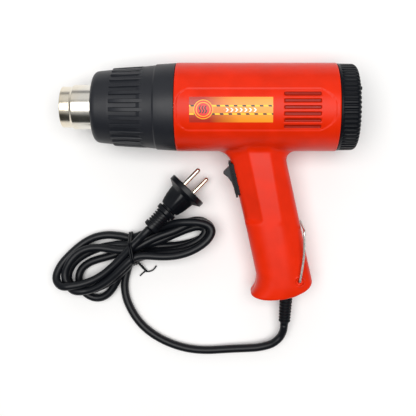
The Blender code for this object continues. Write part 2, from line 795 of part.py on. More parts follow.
def motor_rotor():
    x0, x1 = MOTOR_X
    bore, top = SHAFT_R + GAP, MOTOR_R - 1.2 - GAP - 3.2 - RUN
    profile = ((x0 + 8, bore), (x0 + 8, 5.0), (x0 + 13, 5.0), (x0 + 13, top), (x1 - 9, top), (x1 - 9, bore))
    rotor = turned("motor_rotor", profile, nichrome(), 25)
    for k in range(5):
        a = 2.0 * pi * k / 5.0
        tool = sector(x0 + 12, x1 - 8, top - 3.0, top + 2, a, radians(5.0), nichrome(), 1)
        cut(rotor, tool)
    return rotor


def motor_end_bell():
    x0 = MOTOR_X[0]
    r, t = MOTOR_R, 1.2
    profile = (
        (x0, BUSH_R + GAP), (x0, r - 1.0), (x0 + 4 - GAP, r - 1.0), (x0 + 4 - GAP, r - t - GAP - 0.6),
        (x0 + 7, r - t - GAP - 0.6), (x0 + 7, r - t - GAP - 3.0), (x0 + 2.5, r - t - GAP - 3.0),
        (x0 + 2.5, BUSH_R + GAP),
    )
    return turned("motor_end_bell", profile, black_plastic(), 20)


def shaft_bush(name, x0, x1):
    r = SHAFT_R + GAP
    return turned(name, ((x0, r), (x1, r), (x1, BUSH_R), (x0, BUSH_R)), brass(), 14)


def motor_shaft():
    return rod("motor_shaft", (MOTOR_X[0] - 2.0, 0, 0), (FAN_X[1] + 1.0, 0, 0), SHAFT_R, zinc_steel(), 16)


# ---------------------------------------------------------------- heater

def heater_former():
    """Two mica cards crossed at right angles."""
    x0, x1 = HEATER_X
    centre = ((x0 + x1) / 2, 0, 0)
    length, wide, thick = x1 - x0, 2 * (COIL_R - 1.4), 0.9
    card = block("heater_former", centre, (1, 0, 0), (0, 0, 1), (length, wide, thick), mica())
    other = block("card", centre, (1, 0, 0), (0, 0, 1), (length - 1.0, thick, wide), mica())
    return join(card, other)


def heater_coil():
    x0, x1 = HEATER_X[0] + 6.0, HEATER_X[1] - 4.0
    steps = COIL_TURNS * 8
    points = []
    for k in range(steps + 1):
        a = 2.0 * pi * k / 8.0
        points.append((x0 + (x1 - x0) * k / steps, COIL_R * cos(a), COIL_R * sin(a)))
    return tube("heater_coil", points, 0.6, nichrome(), 0)


def mica_sleeve():
    x0, x1 = HEATER_X
    inner = COIL_R + 0.6 + GAP
    outer = NOZZLE_R - NOZZLE_WALL - GAP
    profile = ((x0 - 1, inner + 1.4), (x1, inner + 1.4), (x1, outer), (x0 - 1, outer))
    return turned("mica_sleeve", profile, mica(), 24)


def heater_base():
    x = HEATER_X[1] + GAP
    r = NOZZLE_R - NOZZLE_WALL - GAP
    base = turned("heater_base", ((x, 2.0), (x + 3, 2.0), (x + 3, r), (x, r)), mica(), 24)
    for k in range(6):
        a = radians(60.0 * k)
        y, z = 10.0 * cos(a), 10.0 * sin(a)
        cut(base, rod("vent", (x - 2, y, z), (x + 5, y, z), 3.6, mica(), 8))
    return base


def thermal_cutoff():
    x = HEATER_X[1] + 6.0
    return rod("thermal_cutoff", (x, -5.0, 0), (x, 5.0, 0), 2.6, zinc_steel(), 14)


# ---------------------------------------------------------------- switch and wiring

def switch_body():
    length, width, depth = SWITCH_BODY
    mid = SWITCH_LENGTH / 2.0
    size = (SWITCH_LENGTH, SWITCH_WIDTH, SWITCH_FLANGE)
    plate = switch_place(mid, -SWITCH_FLANGE / 2.0)
    body = block("switch_body", plate, RAKE_DOWN, RAKE_OUT, size, black_plastic())
    middle = switch_place(mid, -depth / 2.0 - 0.4)
    join(body, block("box", middle, RAKE_DOWN, RAKE_OUT, (length, width, depth), black_plastic()))
    well = (ROCKER_LENGTH + 1.2, ROCKER_WIDTH + 2 * GAP, 12.0)
    cut(body, block("well", switch_place(mid, -3.0), RAKE_DOWN, RAKE_OUT, well, black_plastic()))
    pivot = switch_place(mid, -ROCKER_PIVOT)
    reach = Vector((0, 0, 5.5))
    cut(body, rod("pin_hole", pivot - reach, pivot + reach, ROCKER_PIN_R + GAP, black_plastic(), 14))
    return body


def rocker():
    """The rocker key: a raised fin at its upper end, a bowed face below it and a rounded belly."""
    half = ROCKER_LENGTH / 2.0
    tilt = ROCKER_TRAVEL / 2.0
    outline = [(-half + 0.2, -0.5), (-half + 1.1, 0.65), (-half + 3.3, 6.6), (-half + 3.9, 7.0),
               (-half + 4.7, 6.8), (-4.0, 4.9), (1.2, 3.84), (6.0, 4.1), (half - 1.0, 5.3),
               (half - 0.2, 4.6),
               (half - 0.5, 1.0), (half - 4.5, -2.6), (3.0, -3.6), (-3.0, -3.6), (-half + 4.5, -2.6),
               (-half + 0.5, -1.2)]
    loops = []
    for z in (-ROCKER_WIDTH / 2.0, ROCKER_WIDTH / 2.0):
        loop = []
        for s, n in outline:
            down = s * cos(tilt) + n * sin(tilt)
            out = n * cos(tilt) - s * sin(tilt)
            place = switch_place(SWITCH_LENGTH / 2.0 + down, out - ROCKER_PIVOT)
            loop.append(place + Vector((0, 0, z)))
        loops.append(loop)
    key = loft("rocker", loops, black_plastic(), smooth=False)
    pivot = switch_place(SWITCH_LENGTH / 2.0, -ROCKER_PIVOT)
    bore = ROCKER_PIN_R + GAP
    cut(key, rod("bore", pivot - Vector((0, 0, 8)), pivot + Vector((0, 0, 8)), bore, black_plastic(), 14))
    return set_pivot(key, pivot)


def rocker_pin():
    pivot = switch_place(SWITCH_LENGTH / 2.0, -ROCKER_PIVOT)
    reach = Vector((0, 0, 5.3))
    return rod("rocker_pin", pivot - reach, pivot + reach, ROCKER_PIN_R, zinc_steel(), 12)


def switch_terminal(name, down):
    depth = SWITCH_BODY[2] + 0.4 + GAP
    centre = switch_place(down, -depth - 3.5)
    return block(name, centre, RAKE_DOWN, RAKE_OUT, (0.8, 4.8, 7.0), brass())


def capacitor():
    centre = Vector((35.0, -72.0, 0.0))
    return block("capacitor", centre, RAKE_DOWN, RAKE_OUT, (14.0, 16.0, 6.0), capacitor_yellow())


def rectifier_board():
    centre = (-20.0, 0.0, 0.0)
    return block("rectifier_board", centre, (0, 1, 0), (1, 0, 0), (26.0, 22.0, 1.4), board_green())


def cord_clamp():
    """A saddle across the handle that grips the lead, with a screw at each end."""
    centre = Vector((42.0, -136.0, 5.6))
    bar = block("cord_clamp", centre, (1, 0, 0), (0, 0, 1), (22.0, 7.0, 3.2), black_plastic())
    for side in (-1, 1):
        at = centre + Vector((8.0 * side, 0, 0))
        cut(bar, rod("hole", at - Vector((0, 0, 5)), at + Vector((0, 0, 5)), 1.3 + GAP, black_plastic(), 12))
    return bar


def clamp_screw(name, side):
    at = Vector((42.0 + 8.0 * side, -136.0, 0.0))
    seat = 7.2 + GAP
    screw = rod(name, at + Vector((0, 0, -4.0)), at + Vector((0, 0, seat + 0.4)), 1.3, zinc_steel(), 10)
    low, high = at + Vector((0, 0, seat)), at + Vector((0, 0, seat + 1.6))
    return join(screw, rod("head", low, high, 2.4, zinc_steel(), 12))


def lead(name, points, finish):
    return tube(name, smooth_path(points, 9.0), 1.1, finish, 0)


def inner_leads():
    """The three insulated leads inside: supply to switch, supply to board, and switch to board."""
    live, neutral = (Vector(RELIEF_ROOT) + Vector((0.4, 10.0, z)) for z in (-2.4, 2.4))
    yield lead("lead_live", (
        live, (41.5, -132.0, -2.6), (36.0, -112.0, -5.0), (26.0, -88.0, -9.5), (22.5, -76.0, -10.5),
        (24.0, -66.5, -10.0),
    ), wire_brown())
    yield lead("lead_neutral", (
        neutral, (42.0, -132.0, 1.8), (46.4, -112.0, 2.0), (46.0, -92.0, 2.0), (40.0, -70.0, 2.0),
        (36.0, -50.0, 3.0), (29.0, -38.0, 5.0), (10.0, -30.0, 6.0), (-6.0, -24.0, 5.0), (-13.0, -17.0, 4.0),
    ), wire_blue())
    yield lead("lead_heater", (
        (22.0, -53.0, -9.5), (14.0, -40.0, -9.0), (0.0, -31.0, -7.0), (-14.0, -24.0, -4.0),
        (-22.0, -23.0, -3.0), (-28.0, -16.0, -3.0), (-32.0, -9.0, -3.0),
    ), wire_brown())


# ---------------------------------------------------------------- hanger and strain relief

def hanger_wire():
    """A U of sprung wire with its ends turned into the handle's two dimples."""
    px, py = HANGER_PIVOT
    tx, ty = HANGER_TOP
    low, high = HANGER_LEG_Z, HANGER_LEG_Z + HANGER_SPREAD
    reach = Vector((tx - px, ty - py, 0.0))
    near = [
        (px, py, 13.5), (px, py, low - 1.6), (px + 0.02 * reach.x, py + 0.02 * reach.y, low - 0.4),
        (px + 0.05 * reach.x, py + 0.05 * reach.y, low), (px + 0.5 * reach.x, py + 0.5 * reach.y, low + 0.7),
        (px + 0.92 * reach.x, py + 0.92 * reach.y, high),
        (px + 0.98 * reach.x, py + 0.98 * reach.y, high - 1.2),
        (tx, ty, high - 4.0), (tx, ty, 7.0),
    ]
    far = [(x, y, -z) for x, y, z in reversed(near)]
    wire = meshed(tube("hanger_wire", [*near, *far], HANGER_R, zinc_steel(), 1))
    return set_pivot(wire, (px, py, 0.0))


def strain_relief():
    """A ribbed sleeve, with a flange held inside the handle's end."""
    root, tip, axis = relief_axis()
    side = axis.orthogonal().normalized()
    across = axis.cross(side)
    inside = 5.0
    stations = [(-8.0, RELIEF_R + 2.4), (-6.0, RELIEF_R + 2.4), (-6.0, RELIEF_R - 0.4)]
    length = (tip - root).length
    first = inside
    pitch = (length - first) / RELIEF_RINGS
    for k in range(RELIEF_RINGS):
        at = first + k * pitch
        taper = 1.0 - 0.12 * k / RELIEF_RINGS
        stations += [(at, RELIEF_R * taper - 0.9), (at + 0.5 * pitch, RELIEF_R * taper)]
    stations.append((length, RELIEF_R * 0.84 - 0.7))
    turns = [2.0 * pi * i / 12 for i in range(12)]
    loops = [[root + at * axis + r * (cos(a) * side + sin(a) * across) for a in turns] for at, r in stations]
    return loft("strain_relief", loops, cord_rubber())


# ---------------------------------------------------------------- lead, hank and plug

def cord_hank():
    """The tied loops' outer shape, narrower and lifted where the tie goes round."""
    low, high = HANK_FLOOR, HANK_HEIGHT
    hank = prism("cord_hank", HANK_OUTLINE, low, high, cord_rubber())
    along = Vector((cos(TIE_AXIS), sin(TIE_AXIS), 0.0))
    centre = Vector((*TIE_AT, 0.0))
    slot = 2.0 * TIE_R + 2.4
    middle = centre + Vector((0.0, 0.0, (low + high) / 2.0))
    groove = block("groove", middle, along, (0, 0, 1), (slot, 60.0, 60.0), cord_rubber())
    cut(groove, block("waist", middle, along, (0, 0, 1), (slot + 4.0, *TIE_WAIST), cord_rubber()))
    cut(hank, groove)
    return hank


def twist_tie():
    """A wire tie round the hank's waist, with its twisted ends lying beside it."""
    across = Vector((-sin(TIE_AXIS), cos(TIE_AXIS), 0.0))
    centre = Vector((*TIE_AT, (HANK_FLOOR + HANK_HEIGHT) / 2.0))
    wide, high = (size / 2.0 + TIE_R + GAP for size in TIE_WAIST)
    corners_of_ring = ((1, -1), (1, 1), (-1, 1), (-1, -1))
    path = [centre + across * wide * y + Vector((0, 0, high * z)) for y, z in corners_of_ring]
    ring = meshed(tube("twist_tie", path, TIE_R, black_plastic(), 1, closed=True))
    start = centre - across * wide
    end = start - across * 6.0 - Vector((0.0, 0.0, 2.0))
    return join(ring, rod("ends", start, end, TIE_R * 1.3, black_plastic(), 8))


def plug_frame():
    """Centre of the plug's face, its axis from boot to pins, and the two directions across it."""
    ahead = Vector((cos(PLUG_AXIS), sin(PLUG_AXIS), 0.0))
    flat = Vector((-sin(PLUG_AXIS), cos(PLUG_AXIS), 0.0))
    axis = cos(PLUG_PITCH) * ahead - sin(PLUG_PITCH) * Vector((0.0, 0.0, 1.0))
    up = axis.cross(flat)
    row = cos(PLUG_ROLL) * up + sin(PLUG_ROLL) * flat
    side = row.cross(axis)
    return Vector((*PLUG_DISC, PLUG_HEIGHT)), axis, row, side


def plug_body():
    """A moulded plug: round face, flat-sided grip, collar and ribbed boot."""
    face, axis, row, side = plug_frame()
    half, rim = PLUG_DISC_T / 2.0, PLUG_DISC_R - 0.5
    (grip_from, wide, deep), (grip_to, narrow, thin) = PLUG_GRIP
    collar_from, collar_to, collar_r = PLUG_COLLAR
    stations = [
        (half, rim, rim), (half - 0.6, PLUG_DISC_R, PLUG_DISC_R), (0.6 - half, PLUG_DISC_R, PLUG_DISC_R),
        (-half, rim, rim), (-grip_from, wide, deep), (-grip_to, narrow, thin),
        (-collar_from, narrow - 1.0, thin), (-collar_from - 0.4, collar_r, collar_r),
        (-collar_to, collar_r, collar_r), (-collar_to - 0.6, collar_r - 1.6, collar_r - 1.6),
    ]
    boot_start = -collar_to - 0.8
    boot_end = half - PLUG_LENGTH
    rings = 4
    pitch = (boot_start - boot_end) / rings
    for k in range(rings):
        at = boot_start - k * pitch
        r = 6.6 - 0.2 * k
        stations += [(at, r), (at - 0.55 * pitch, r), (at - 0.75 * pitch, r - 0.9)]
    stations.append((boot_end, 4.6))
    turns = [2.0 * pi * i / 16 for i in range(16)]
    loops = []
    for station in stations:
        at, wide, high = station if len(station) == 3 else (station[0], station[1], station[1])
        loops.append([face + at * axis + wide * cos(a) * row + high * sin(a) * side for a in turns])
    body = loft("plug_body", loops, cord_rubber())
    for sign in (-1, 1):
        at = face + sign * PIN_SPACING / 2.0 * row
        low = at + (half - 3.0) * axis
        cut(body, rod("socket", low, at + 8.0 * axis, PIN_R + GAP, cord_rubber(), 14))
    return body


def plug_pin(name, sign):
    face, axis, row, _ = plug_frame()
    at = face + sign * PIN_SPACING / 2.0 * row
    base = PLUG_DISC_T / 2.0 - 3.0 + GAP
    tip = PLUG_DISC_T / 2.0 + PIN_LENGTH
    side = axis.orthogonal().normalized()
    across = axis.cross(side)
    turns = [2.0 * pi * i / 16 for i in range(16)]
    loops = []
    for along, r in ((base, PIN_R), (tip - 1.2, PIN_R), (tip - 0.4, PIN_R * 0.8), (tip, PIN_R * 0.45)):
        loops.append([at + along * axis + r * (cos(a) * side + sin(a) * across) for a in turns])
    return loft(name, loops, pin_nickel())


# ---------------------------------------------------------------- assembly

def gun_pieces():
    pieces = [
        housing_half("housing_near", 1), housing_half("housing_far", -1), label_plate(), nozzle_tube(),
        front_collar(), tube_mount_ring(), rear_cap(), cap_screw(), air_grille(), impeller(), fan_shroud(),
        motor_can(), motor_magnet("motor_magnet_1", 0.0), motor_magnet("motor_magnet_2", pi), motor_rotor(),
        motor_end_bell(), shaft_bush("shaft_bush_front", MOTOR_X[0], MOTOR_X[0] + 5.0),
        shaft_bush("shaft_bush_rear", MOTOR_X[1] - 4.0, MOTOR_X[1]), motor_shaft(), heater_former(),
        heater_coil(), mica_sleeve(), heater_base(), thermal_cutoff(), switch_body(), rocker(), rocker_pin(),
        capacitor(), rectifier_board(), cord_clamp(), clamp_screw("clamp_screw_1", -1),
        clamp_screw("clamp_screw_2", 1), hanger_wire(), strain_relief(),
    ]
    pieces += [housing_screw(f"housing_screw_{k}", at) for k, at in enumerate(SCREWS, 1)]
    pieces += [switch_terminal(f"switch_terminal_{k}", 7.0 + 8.0 * (k - 1)) for k in (1, 2, 3)]
    pieces += inner_leads()
    return pieces


def cord_pieces():
    run = [LEAD_ROUTE[0], *smooth_path(LEAD_ROUTE[1:-1], 2.3 * CORD_D), LEAD_ROUTE[-1]]
    return [
        tube("cord_lead", run, CORD_D / 2.0, cord_rubber(), 3),
        tube("cord_tail", smooth_path(TAIL_ROUTE, 6.0), CORD_D / 2.0, cord_rubber(), 3),
        cord_hank(), twist_tie(), plug_body(), plug_pin("plug_pin_1", 1), plug_pin("plug_pin_2", -1),
    ]


def empty(name, parent=None):
    made = bpy.data.objects.new(name, None)
    bpy.context.scene.collection.objects.link(made)
    made.parent = parent
    return made


def corners(pieces):
    """Lowest and highest corner of the pieces in world space."""
    bpy.context.view_layer.update()
    points = []
    graph = bpy.context.evaluated_depsgraph_get()
    for piece in pieces:
        mesh = bpy.data.meshes.new_from_object(piece.evaluated_get(graph))
        points += [piece.matrix_world @ v.co for v in mesh.vertices]
        bpy.data.meshes.remove(mesh)
    low = Vector([min(p[i] for p in points) for i in range(3)])
    high = Vector([max(p[i] for p in points) for i in range(3)])
    return low, high


def main():
    clear_scene()
    ground = empty("ground")
    gun = empty("gun", ground)
    gun.rotation_euler.x = GUN_ROLL
    pieces = gun_pieces()
    for piece in pieces:
        piece.parent = gun
    for piece in cord_pieces():
        piece.parent = ground
    low, high = corners(pieces)
    gun.location.z = -low.z
    ground.location = (-(low.x + high.x) / 2.0, -(low.y + high.y) / 2.0, 0.0)
    bpy.context.view_layer.update()


main()
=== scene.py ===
"""Looks for the heat gun: shells, nozzle, collar, cap, switch, hanger and tied lead round its frame."""

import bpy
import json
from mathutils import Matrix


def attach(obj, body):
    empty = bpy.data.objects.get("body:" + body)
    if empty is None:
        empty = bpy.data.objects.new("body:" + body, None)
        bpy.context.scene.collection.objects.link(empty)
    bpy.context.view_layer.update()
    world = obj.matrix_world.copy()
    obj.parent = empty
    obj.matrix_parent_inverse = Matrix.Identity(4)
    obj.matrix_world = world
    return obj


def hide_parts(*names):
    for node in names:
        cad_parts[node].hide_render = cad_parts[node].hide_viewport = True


bl_info = {
    "name": "Heat Gun",
    "version": (1, 0, 0),
    "blender": (4, 5, 0),
    "location": "3D View > Sidebar > Heat Gun",
    "description": "Makes the visible pieces of a heat gun round its packed frame",
    "category": "Object",
}

import json
from math import ceil, cos, pi, radians, sin, sqrt, tau

import bmesh
import bpy
import numpy as np
from bpy.props import FloatProperty, FloatVectorProperty, IntProperty, PointerProperty
from mathutils import Matrix, Vector

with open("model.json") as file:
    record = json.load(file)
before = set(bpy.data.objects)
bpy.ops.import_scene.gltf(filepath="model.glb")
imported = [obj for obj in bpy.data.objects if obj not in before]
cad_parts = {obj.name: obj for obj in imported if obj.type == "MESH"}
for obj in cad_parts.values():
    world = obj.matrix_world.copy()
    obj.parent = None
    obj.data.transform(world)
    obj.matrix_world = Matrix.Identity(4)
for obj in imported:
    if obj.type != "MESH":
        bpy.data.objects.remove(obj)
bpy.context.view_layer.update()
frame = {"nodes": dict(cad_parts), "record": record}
MM = 0.001

# The gun's own axes: X along the barrel, Y from the handle to the barrel, Z across the shells
GUN_ROLL = radians(6.807)
GUN_ORIGIN = (0.0209, 0.074139, 0.036461)
GROUND_ORIGIN = (0.0209, 0.074139, 0.0)
GUN_PLACE = Matrix.Translation(GUN_ORIGIN) @ Matrix.Rotation(GUN_ROLL, 4, "X") @ Matrix.Scale(MM, 4)
GROUND_PLACE = Matrix.Translation(GROUND_ORIGIN) @ Matrix.Scale(MM, 4)

# Barrel, in millimetres along the gun's axes
HOUSING_FRONT = -47.8
HOUSING_REAR = 82.5
CAP_FRONT = 82.8
CAP_REAR = 99.0
NOZZLE_TIP = -141.5
NOZZLE_STEP = -132.8
COLLAR_FRONT = -115.1
COLLAR_STEP = -64.2
RIB_SPAN = (-99.2, -75.5)
NOZZLE_R = 18.4
NOZZLE_LIP_R = 16.9
NOZZLE_WALL = 0.8
NOZZLE_BACK = -38.0
WALL = 2.5
BORE_R = 33.4
PANEL = (-45.6, 79.0, 16.4)
PANEL_DEPTH = 0.6
VENT_TOPS = [12.2 - 5.1 * k for k in range(6)]
VENT_X = (38.3, 67.0)
VENT_HALF = 1.35
VENT_FLOOR_R = 34.6
SCREWS = ((-30.0, 26.5), (-30.0, -26.5), (28.0, 26.5), (30.0, -26.5), (39.0, -98.0), (30.5, -146.0))
PART_GAP = 0.15
FIT_GAP = 0.3
SCREW_POST_R = 4.5
SCREW_HEAD_R = 3.1
SCREW_SHANK_R = 1.7
HANDLE_TOP = 12.0
CAP_R = 35.8
CAP_CORNER = 4.2
CAP_RIB_DEPTH = 1.05
CAP_SLOTS = 8
CAP_SLOT_RADII = (11.0, 27.0)
CAP_NUB_TURN = radians(59.0)
CAP_NUB_AT = 31.6

# Rows down the handle: height, front, rear, front ridge, rear ridge and half thickness
HANDLE_ROWS = (
    (0.0, -14.3, 33.0, 3.2, 19.5, 17.0), (-36.0, -5.9, 40.8, 11.0, 28.3, 17.6),
    (-47.0, -3.3, 43.2, 13.3, 30.5, 18.0), (-72.0, 2.5, 48.8, 18.6, 34.8, 18.2),
    (-100.0, 9.2, 54.9, 24.5, 39.6, 18.4), (-130.0, 15.7, 61.3, 29.0, 44.0, 18.7),
    (-142.0, 18.1, 64.1, 30.0, 45.4, 18.8), (-149.6, 17.3, 65.6, 29.0, 46.0, 18.8),
    (-154.3, 15.0, 66.3, 27.0, 45.6, 18.4), (-158.6, 11.2, 67.0, 25.0, 45.0, 17.8),
    (-166.0, 5.0, 68.0, 24.0, 44.0, 16.6),
)
# The closed foot of the handle: place across it and height
HANDLE_END = (
    (5.0, -154.2), (11.0, -156.6), (15.0, -158.0), (22.0, -159.4), (30.0, -159.8), (40.0, -159.0),
    (50.0, -157.0), (58.0, -154.0), (63.0, -150.6), (66.0, -146.3), (69.0, -140.0),
)
SCOOP_END = -93.5
RAKE = radians(12.8)
RAKE_DOWN = Vector((sin(RAKE), -cos(RAKE), 0.0))
RAKE_OUT = Vector((-cos(RAKE), -sin(RAKE), 0.0))
SWITCH_TOP = Vector((-5.6, -45.4, 0.0))
SWITCH_LENGTH = 30.0
SWITCH_WIDTH = 14.0
SWITCH_FLANGE = 1.6
HANGER_PIVOT = (53.5, -143.7)
HANGER_TOP = (56.7, -99.6)
HANGER_R = 1.0
HANGER_LEVELS = (17.9, 19.4)
DIMPLE_R = 3.2
DIMPLE_FLOOR = 15.3
DIMPLE_RING_R = 4.1
RELIEF_ROOT = Vector((43.9, -156.5, 0.0))
RELIEF_TIP = Vector((42.2, -185.4, -0.3))
RELIEF_R = 5.6

# Lead, in millimetres on the ground, with the height of its centreline
LEAD_ROUTE = (
    (42.15, -184.7, 14.1), (41.7, -190.4, 12.9), (38.3, -198.2, 9.4), (30.6, -203.8, 6.0),
    (19.5, -206.8, 4.0), (8.0, -207.9, 3.5), (-6.0, -208.9, 3.5), (-25.5, -210.2, 3.5),
    (-42.0, -208.6, 3.5), (-57.0, -204.0, 3.5), (-70.5, -197.0, 3.5), (-81.5, -188.0, 3.5),
    (-89.5, -177.0, 3.5), (-94.6, -166.0, 3.5), (-96.4, -157.0, 3.5), (-96.2, -149.0, 3.5),
    (-93.0, -136.0, 3.5), (-86.5, -124.0, 3.5),
)
# How far along the lead the hank starts
HANK_START = 330.0
# Each turn of the hank: out along the right lobe's lower run, back over it, round the left lobe and in again
TURNS = (
    ((-78, -118.5), (-66, -119.5), (-52, -119), (-38, -116), (-28, -111.5), (-23, -105.5), (-24, -99.5),
     (-31, -96.5), (-42, -99), (-54, -104), (-66, -111), (-78, -118), (-86, -122), (-94, -124),
     (-100, -125), (-107, -127.5), (-116, -130.3), (-124, -132.2), (-131.5, -135.8), (-136.2, -141.2),
     (-137.2, -148.5), (-135.2, -155.8), (-129.8, -161.6), (-123, -164.8), (-115.8, -164.6),
     (-109.6, -160.6), (-105.2, -154.4), (-102, -147.2), (-98, -140), (-92.8, -133.6)),
    ((-84, -127.3), (-77, -124.4), (-66, -123.2), (-52, -121.6), (-39, -118), (-29, -113),
     (-23.2, -107.4), (-24, -101.8), (-32, -99.8), (-44, -103.2), (-56, -108.8), (-68, -114.6),
     (-80, -118.4), (-88, -118.6), (-95, -117.2), (-104, -117.6), (-114, -119.6), (-124, -123.2),
     (-134, -128.2), (-141.6, -135.2), (-145.8, -143), (-145.6, -149.8), (-141, -154.8), (-132, -156.8),
     (-122, -155.4), (-112.4, -151.4), (-103.4, -145.6), (-95, -138.2)),
    ((-86, -130), (-77, -126), (-66, -124.6), (-52, -123), (-40, -120.2), (-30, -115.8), (-22, -109.6),
     (-18.8, -102.8), (-22.6, -98.6), (-31, -97.4), (-44, -100.6), (-58, -106), (-72, -112),
     (-84, -118.4), (-94, -121.6), (-103, -121.6), (-112, -119.6), (-122, -119.2), (-131.4, -121.6),
     (-139.6, -127.6), (-145, -135.4), (-147.4, -143.4), (-146, -150.4), (-139.6, -155.4), (-129, -156),
     (-119, -152.8), (-109, -147.2), (-100, -139.6), (-92, -132)),
    ((-84, -125.4), (-74, -125), (-62, -126), (-50, -124.9), (-40, -122.2), (-31, -117.6), (-23.4, -112),
     (-18.6, -106), (-18.2, -101.4), (-22.6, -98.4), (-30.4, -97.4), (-40, -98, 22.0), (-50, -99.6, 17.0),
     (-60, -102.2, 13.0), (-70, -104.6, 11.0), (-79, -107.6, 11.0), (-89, -109.6, 14.0),
     (-99, -109.4, 20.0), (-111, -109.3), (-121.6, -111), (-130.6, -115.4), (-138, -121.6),
     (-144.6, -129), (-151, -136.4), (-154.6, -142.4), (-154, -148.6), (-148.6, -152.4), (-140.6, -152.4),
     (-131, -150), (-122, -147), (-114, -142.8), (-106.6, -136.8), (-99, -130)),
)
# The lead's last stretch, from the hank up to the plug's boot
TAIL = (
    (-92.5, -123.0, 31.0), (-85.6, -115.6, 27.0), (-79.0, -108.9, 23.2), (-75.3, -105.0, 22.4),
    (-72.25, -101.9, 22.0),
)
TIE_AT = (-88.0, -120.3)
TIE_TURN = radians(12.0)
TIE_AHEAD = np.array((cos(TIE_TURN), sin(TIE_TURN), 0.0))
TIE_ACROSS = np.array((-sin(TIE_TURN), cos(TIE_TURN), 0.0))
TIE_HALF = 11.5
TIE_WIRE = 0.8
TWIST_ENDS = ((-84.2, -133.6, 5.0), (-78.0, -141.2, 2.0))
TWIST_TAILS = (
    ((-80.5, -143.0, 1.4), (-83.4, -145.8, 1.0)),
    ((-76.0, -142.0, 1.4), (-72.0, -140.6, 1.6), (-69.0, -137.0, 1.2)),
)

PLUG_FACE = Vector((-41.2, -70.2, 17.9))
PLUG_AXIS = radians(45.6)
PLUG_PITCH = radians(5.3)
PLUG_ROLL = radians(33.0)
PLUG_LENGTH = 46.4
PIN_LENGTH = 20.7
PIN_SPACING = 19.0
PIN_R = 2.0
PLUG_SIDES = 72
BOOT_START = -27.6
BOOT_SLOTS = 5

# How stiff the lead is: reach in points, share across the ground and share of lift
STIFFNESS = ((1, 0.16, 0.20), (3, 0.12, 0.14), (5, 0.0, 0.06))
SETTLE_ROUNDS = 900
PAIRS_EVERY = 6
GROUND_GAP = 0.1
TIE_NEAR = 5.0

# Stage, in metres: each lamp's name, place, width, height and power
CAMERA_AT = (0.0209, 0.0386, 0.5965)
CAMERA_LENS = 58.7
CAMERA_SHIFT = (-0.065, -0.139)
FLOOR_REACH = 6.0
FLOOR_LEVEL = -0.0006
CARD_HALF_WIDTH = 1.2
CARD_LEVELS = (0.06, 1.1)
CARD_AT = -0.85
LAMPS = (("top_light", (0.0, 0.05, 1.7), 1.8, 1.2, 31.0), ("key_light", (-0.3, 1.3, 0.9), 1.8, 1.0, 3.0))
LAMP_COLOUR = (1.0, 0.985, 0.965)
WORLD_COLOUR = (0.95, 0.97, 1.0, 1.0)
WORLD_STRENGTH = 0.32

# The label, in millimetres on the gun's axes, and its inks
LABEL_MIDDLE = -0.1
BAND_HALF = 3.3
STRIPE_LEVEL = 3.2
STRIPE_HALF = 0.62
DASH_PITCH = 6.7
DASH_SHARE = 0.42
CHEVRON_PITCH = 3.6
CHEVRON_SHARE = 0.36
CHEVRON_HALF = 1.55
CHEVRON_SPAN = (-8.6, 17.4)
EMBLEM_AT = (-24.6, 0.2)
EMBLEM_RIM_R = 7.6
EMBLEM_FACE_R = 6.9
EMBLEM_RING_R = 5.4
EMBLEM_HEART_R = 4.6
WAVE_PITCH = 2.2
# Added to a place before its share of a pitch is taken, to keep it positive
ALWAYS_PLUS = 60.0
AMBER = (0.93, 0.42, 0.01)
STRIPE_YELLOW = (0.95, 0.58, 0.0)
INK_RED = (0.80, 0.012, 0.008)
INK_BLACK = (0.012, 0.008, 0.006)
INK_WHITE = (0.86, 0.84, 0.78)


def colour_choice(name, description, default):
    return FloatVectorProperty(name=name, description=description, default=default, subtype="COLOR", size=3,
                               min=0.0, max=1.0)


class HeatGunSizes(bpy.types.PropertyGroup):
    barrel_radius: FloatProperty(name="Barrel radius", description="Outside radius of the red barrel",
                                 default=0.0364, min=0.03, max=0.05, unit="LENGTH")
    cord_diameter: FloatProperty(name="Lead diameter", description="Outside diameter of the round lead",
                                 default=0.0068, min=0.004, max=0.01, unit="LENGTH")
    shell_grid: FloatProperty(name="Shell grid",
                              description="Grid step that the moulded shells are skinned on",
                              default=0.0008, min=0.0006, max=0.003, unit="LENGTH")
    collar_ribs: IntProperty(name="Collar ribs", description="Ribs round the front collar", default=30,
                             min=8, max=60)
    cap_ribs: IntProperty(name="Cap ribs", description="Ribs round the rear cap", default=54, min=12,
                          max=90)
    relief_rings: IntProperty(name="Relief rings", description="Rings on the strain relief", default=9,
                              min=4, max=14)


class HeatGunColours(bpy.types.PropertyGroup):
    shell: colour_choice("Shell", "Colour of the moulded shells", (0.72, 0.021, 0.0006))
    collar: colour_choice("Collar", "Colour of the front collar", (0.0108, 0.0122, 0.0168))
    cap: colour_choice("Cap", "Colour of the rear cap", (0.0036, 0.0046, 0.0070))
    rubber: colour_choice("Rubber", "Colour of the lead, its relief and the plug", (0.0045, 0.0055, 0.0078))
    steel: colour_choice("Nozzle steel", "Colour of the polished nozzle", (0.82, 0.79, 0.72))


# ---------------------------------------------------------------- shader expressions

def maths(operation, swapped=False):
    """A method of a shader value that adds one Math node."""
    def method(self, *others):
        values = [*others, self] if swapped else [self, *others]
        node = self.finish.node("ShaderNodeMath", {"operation": operation}, values)
        return Term(self.finish, node.outputs[0])
    return method


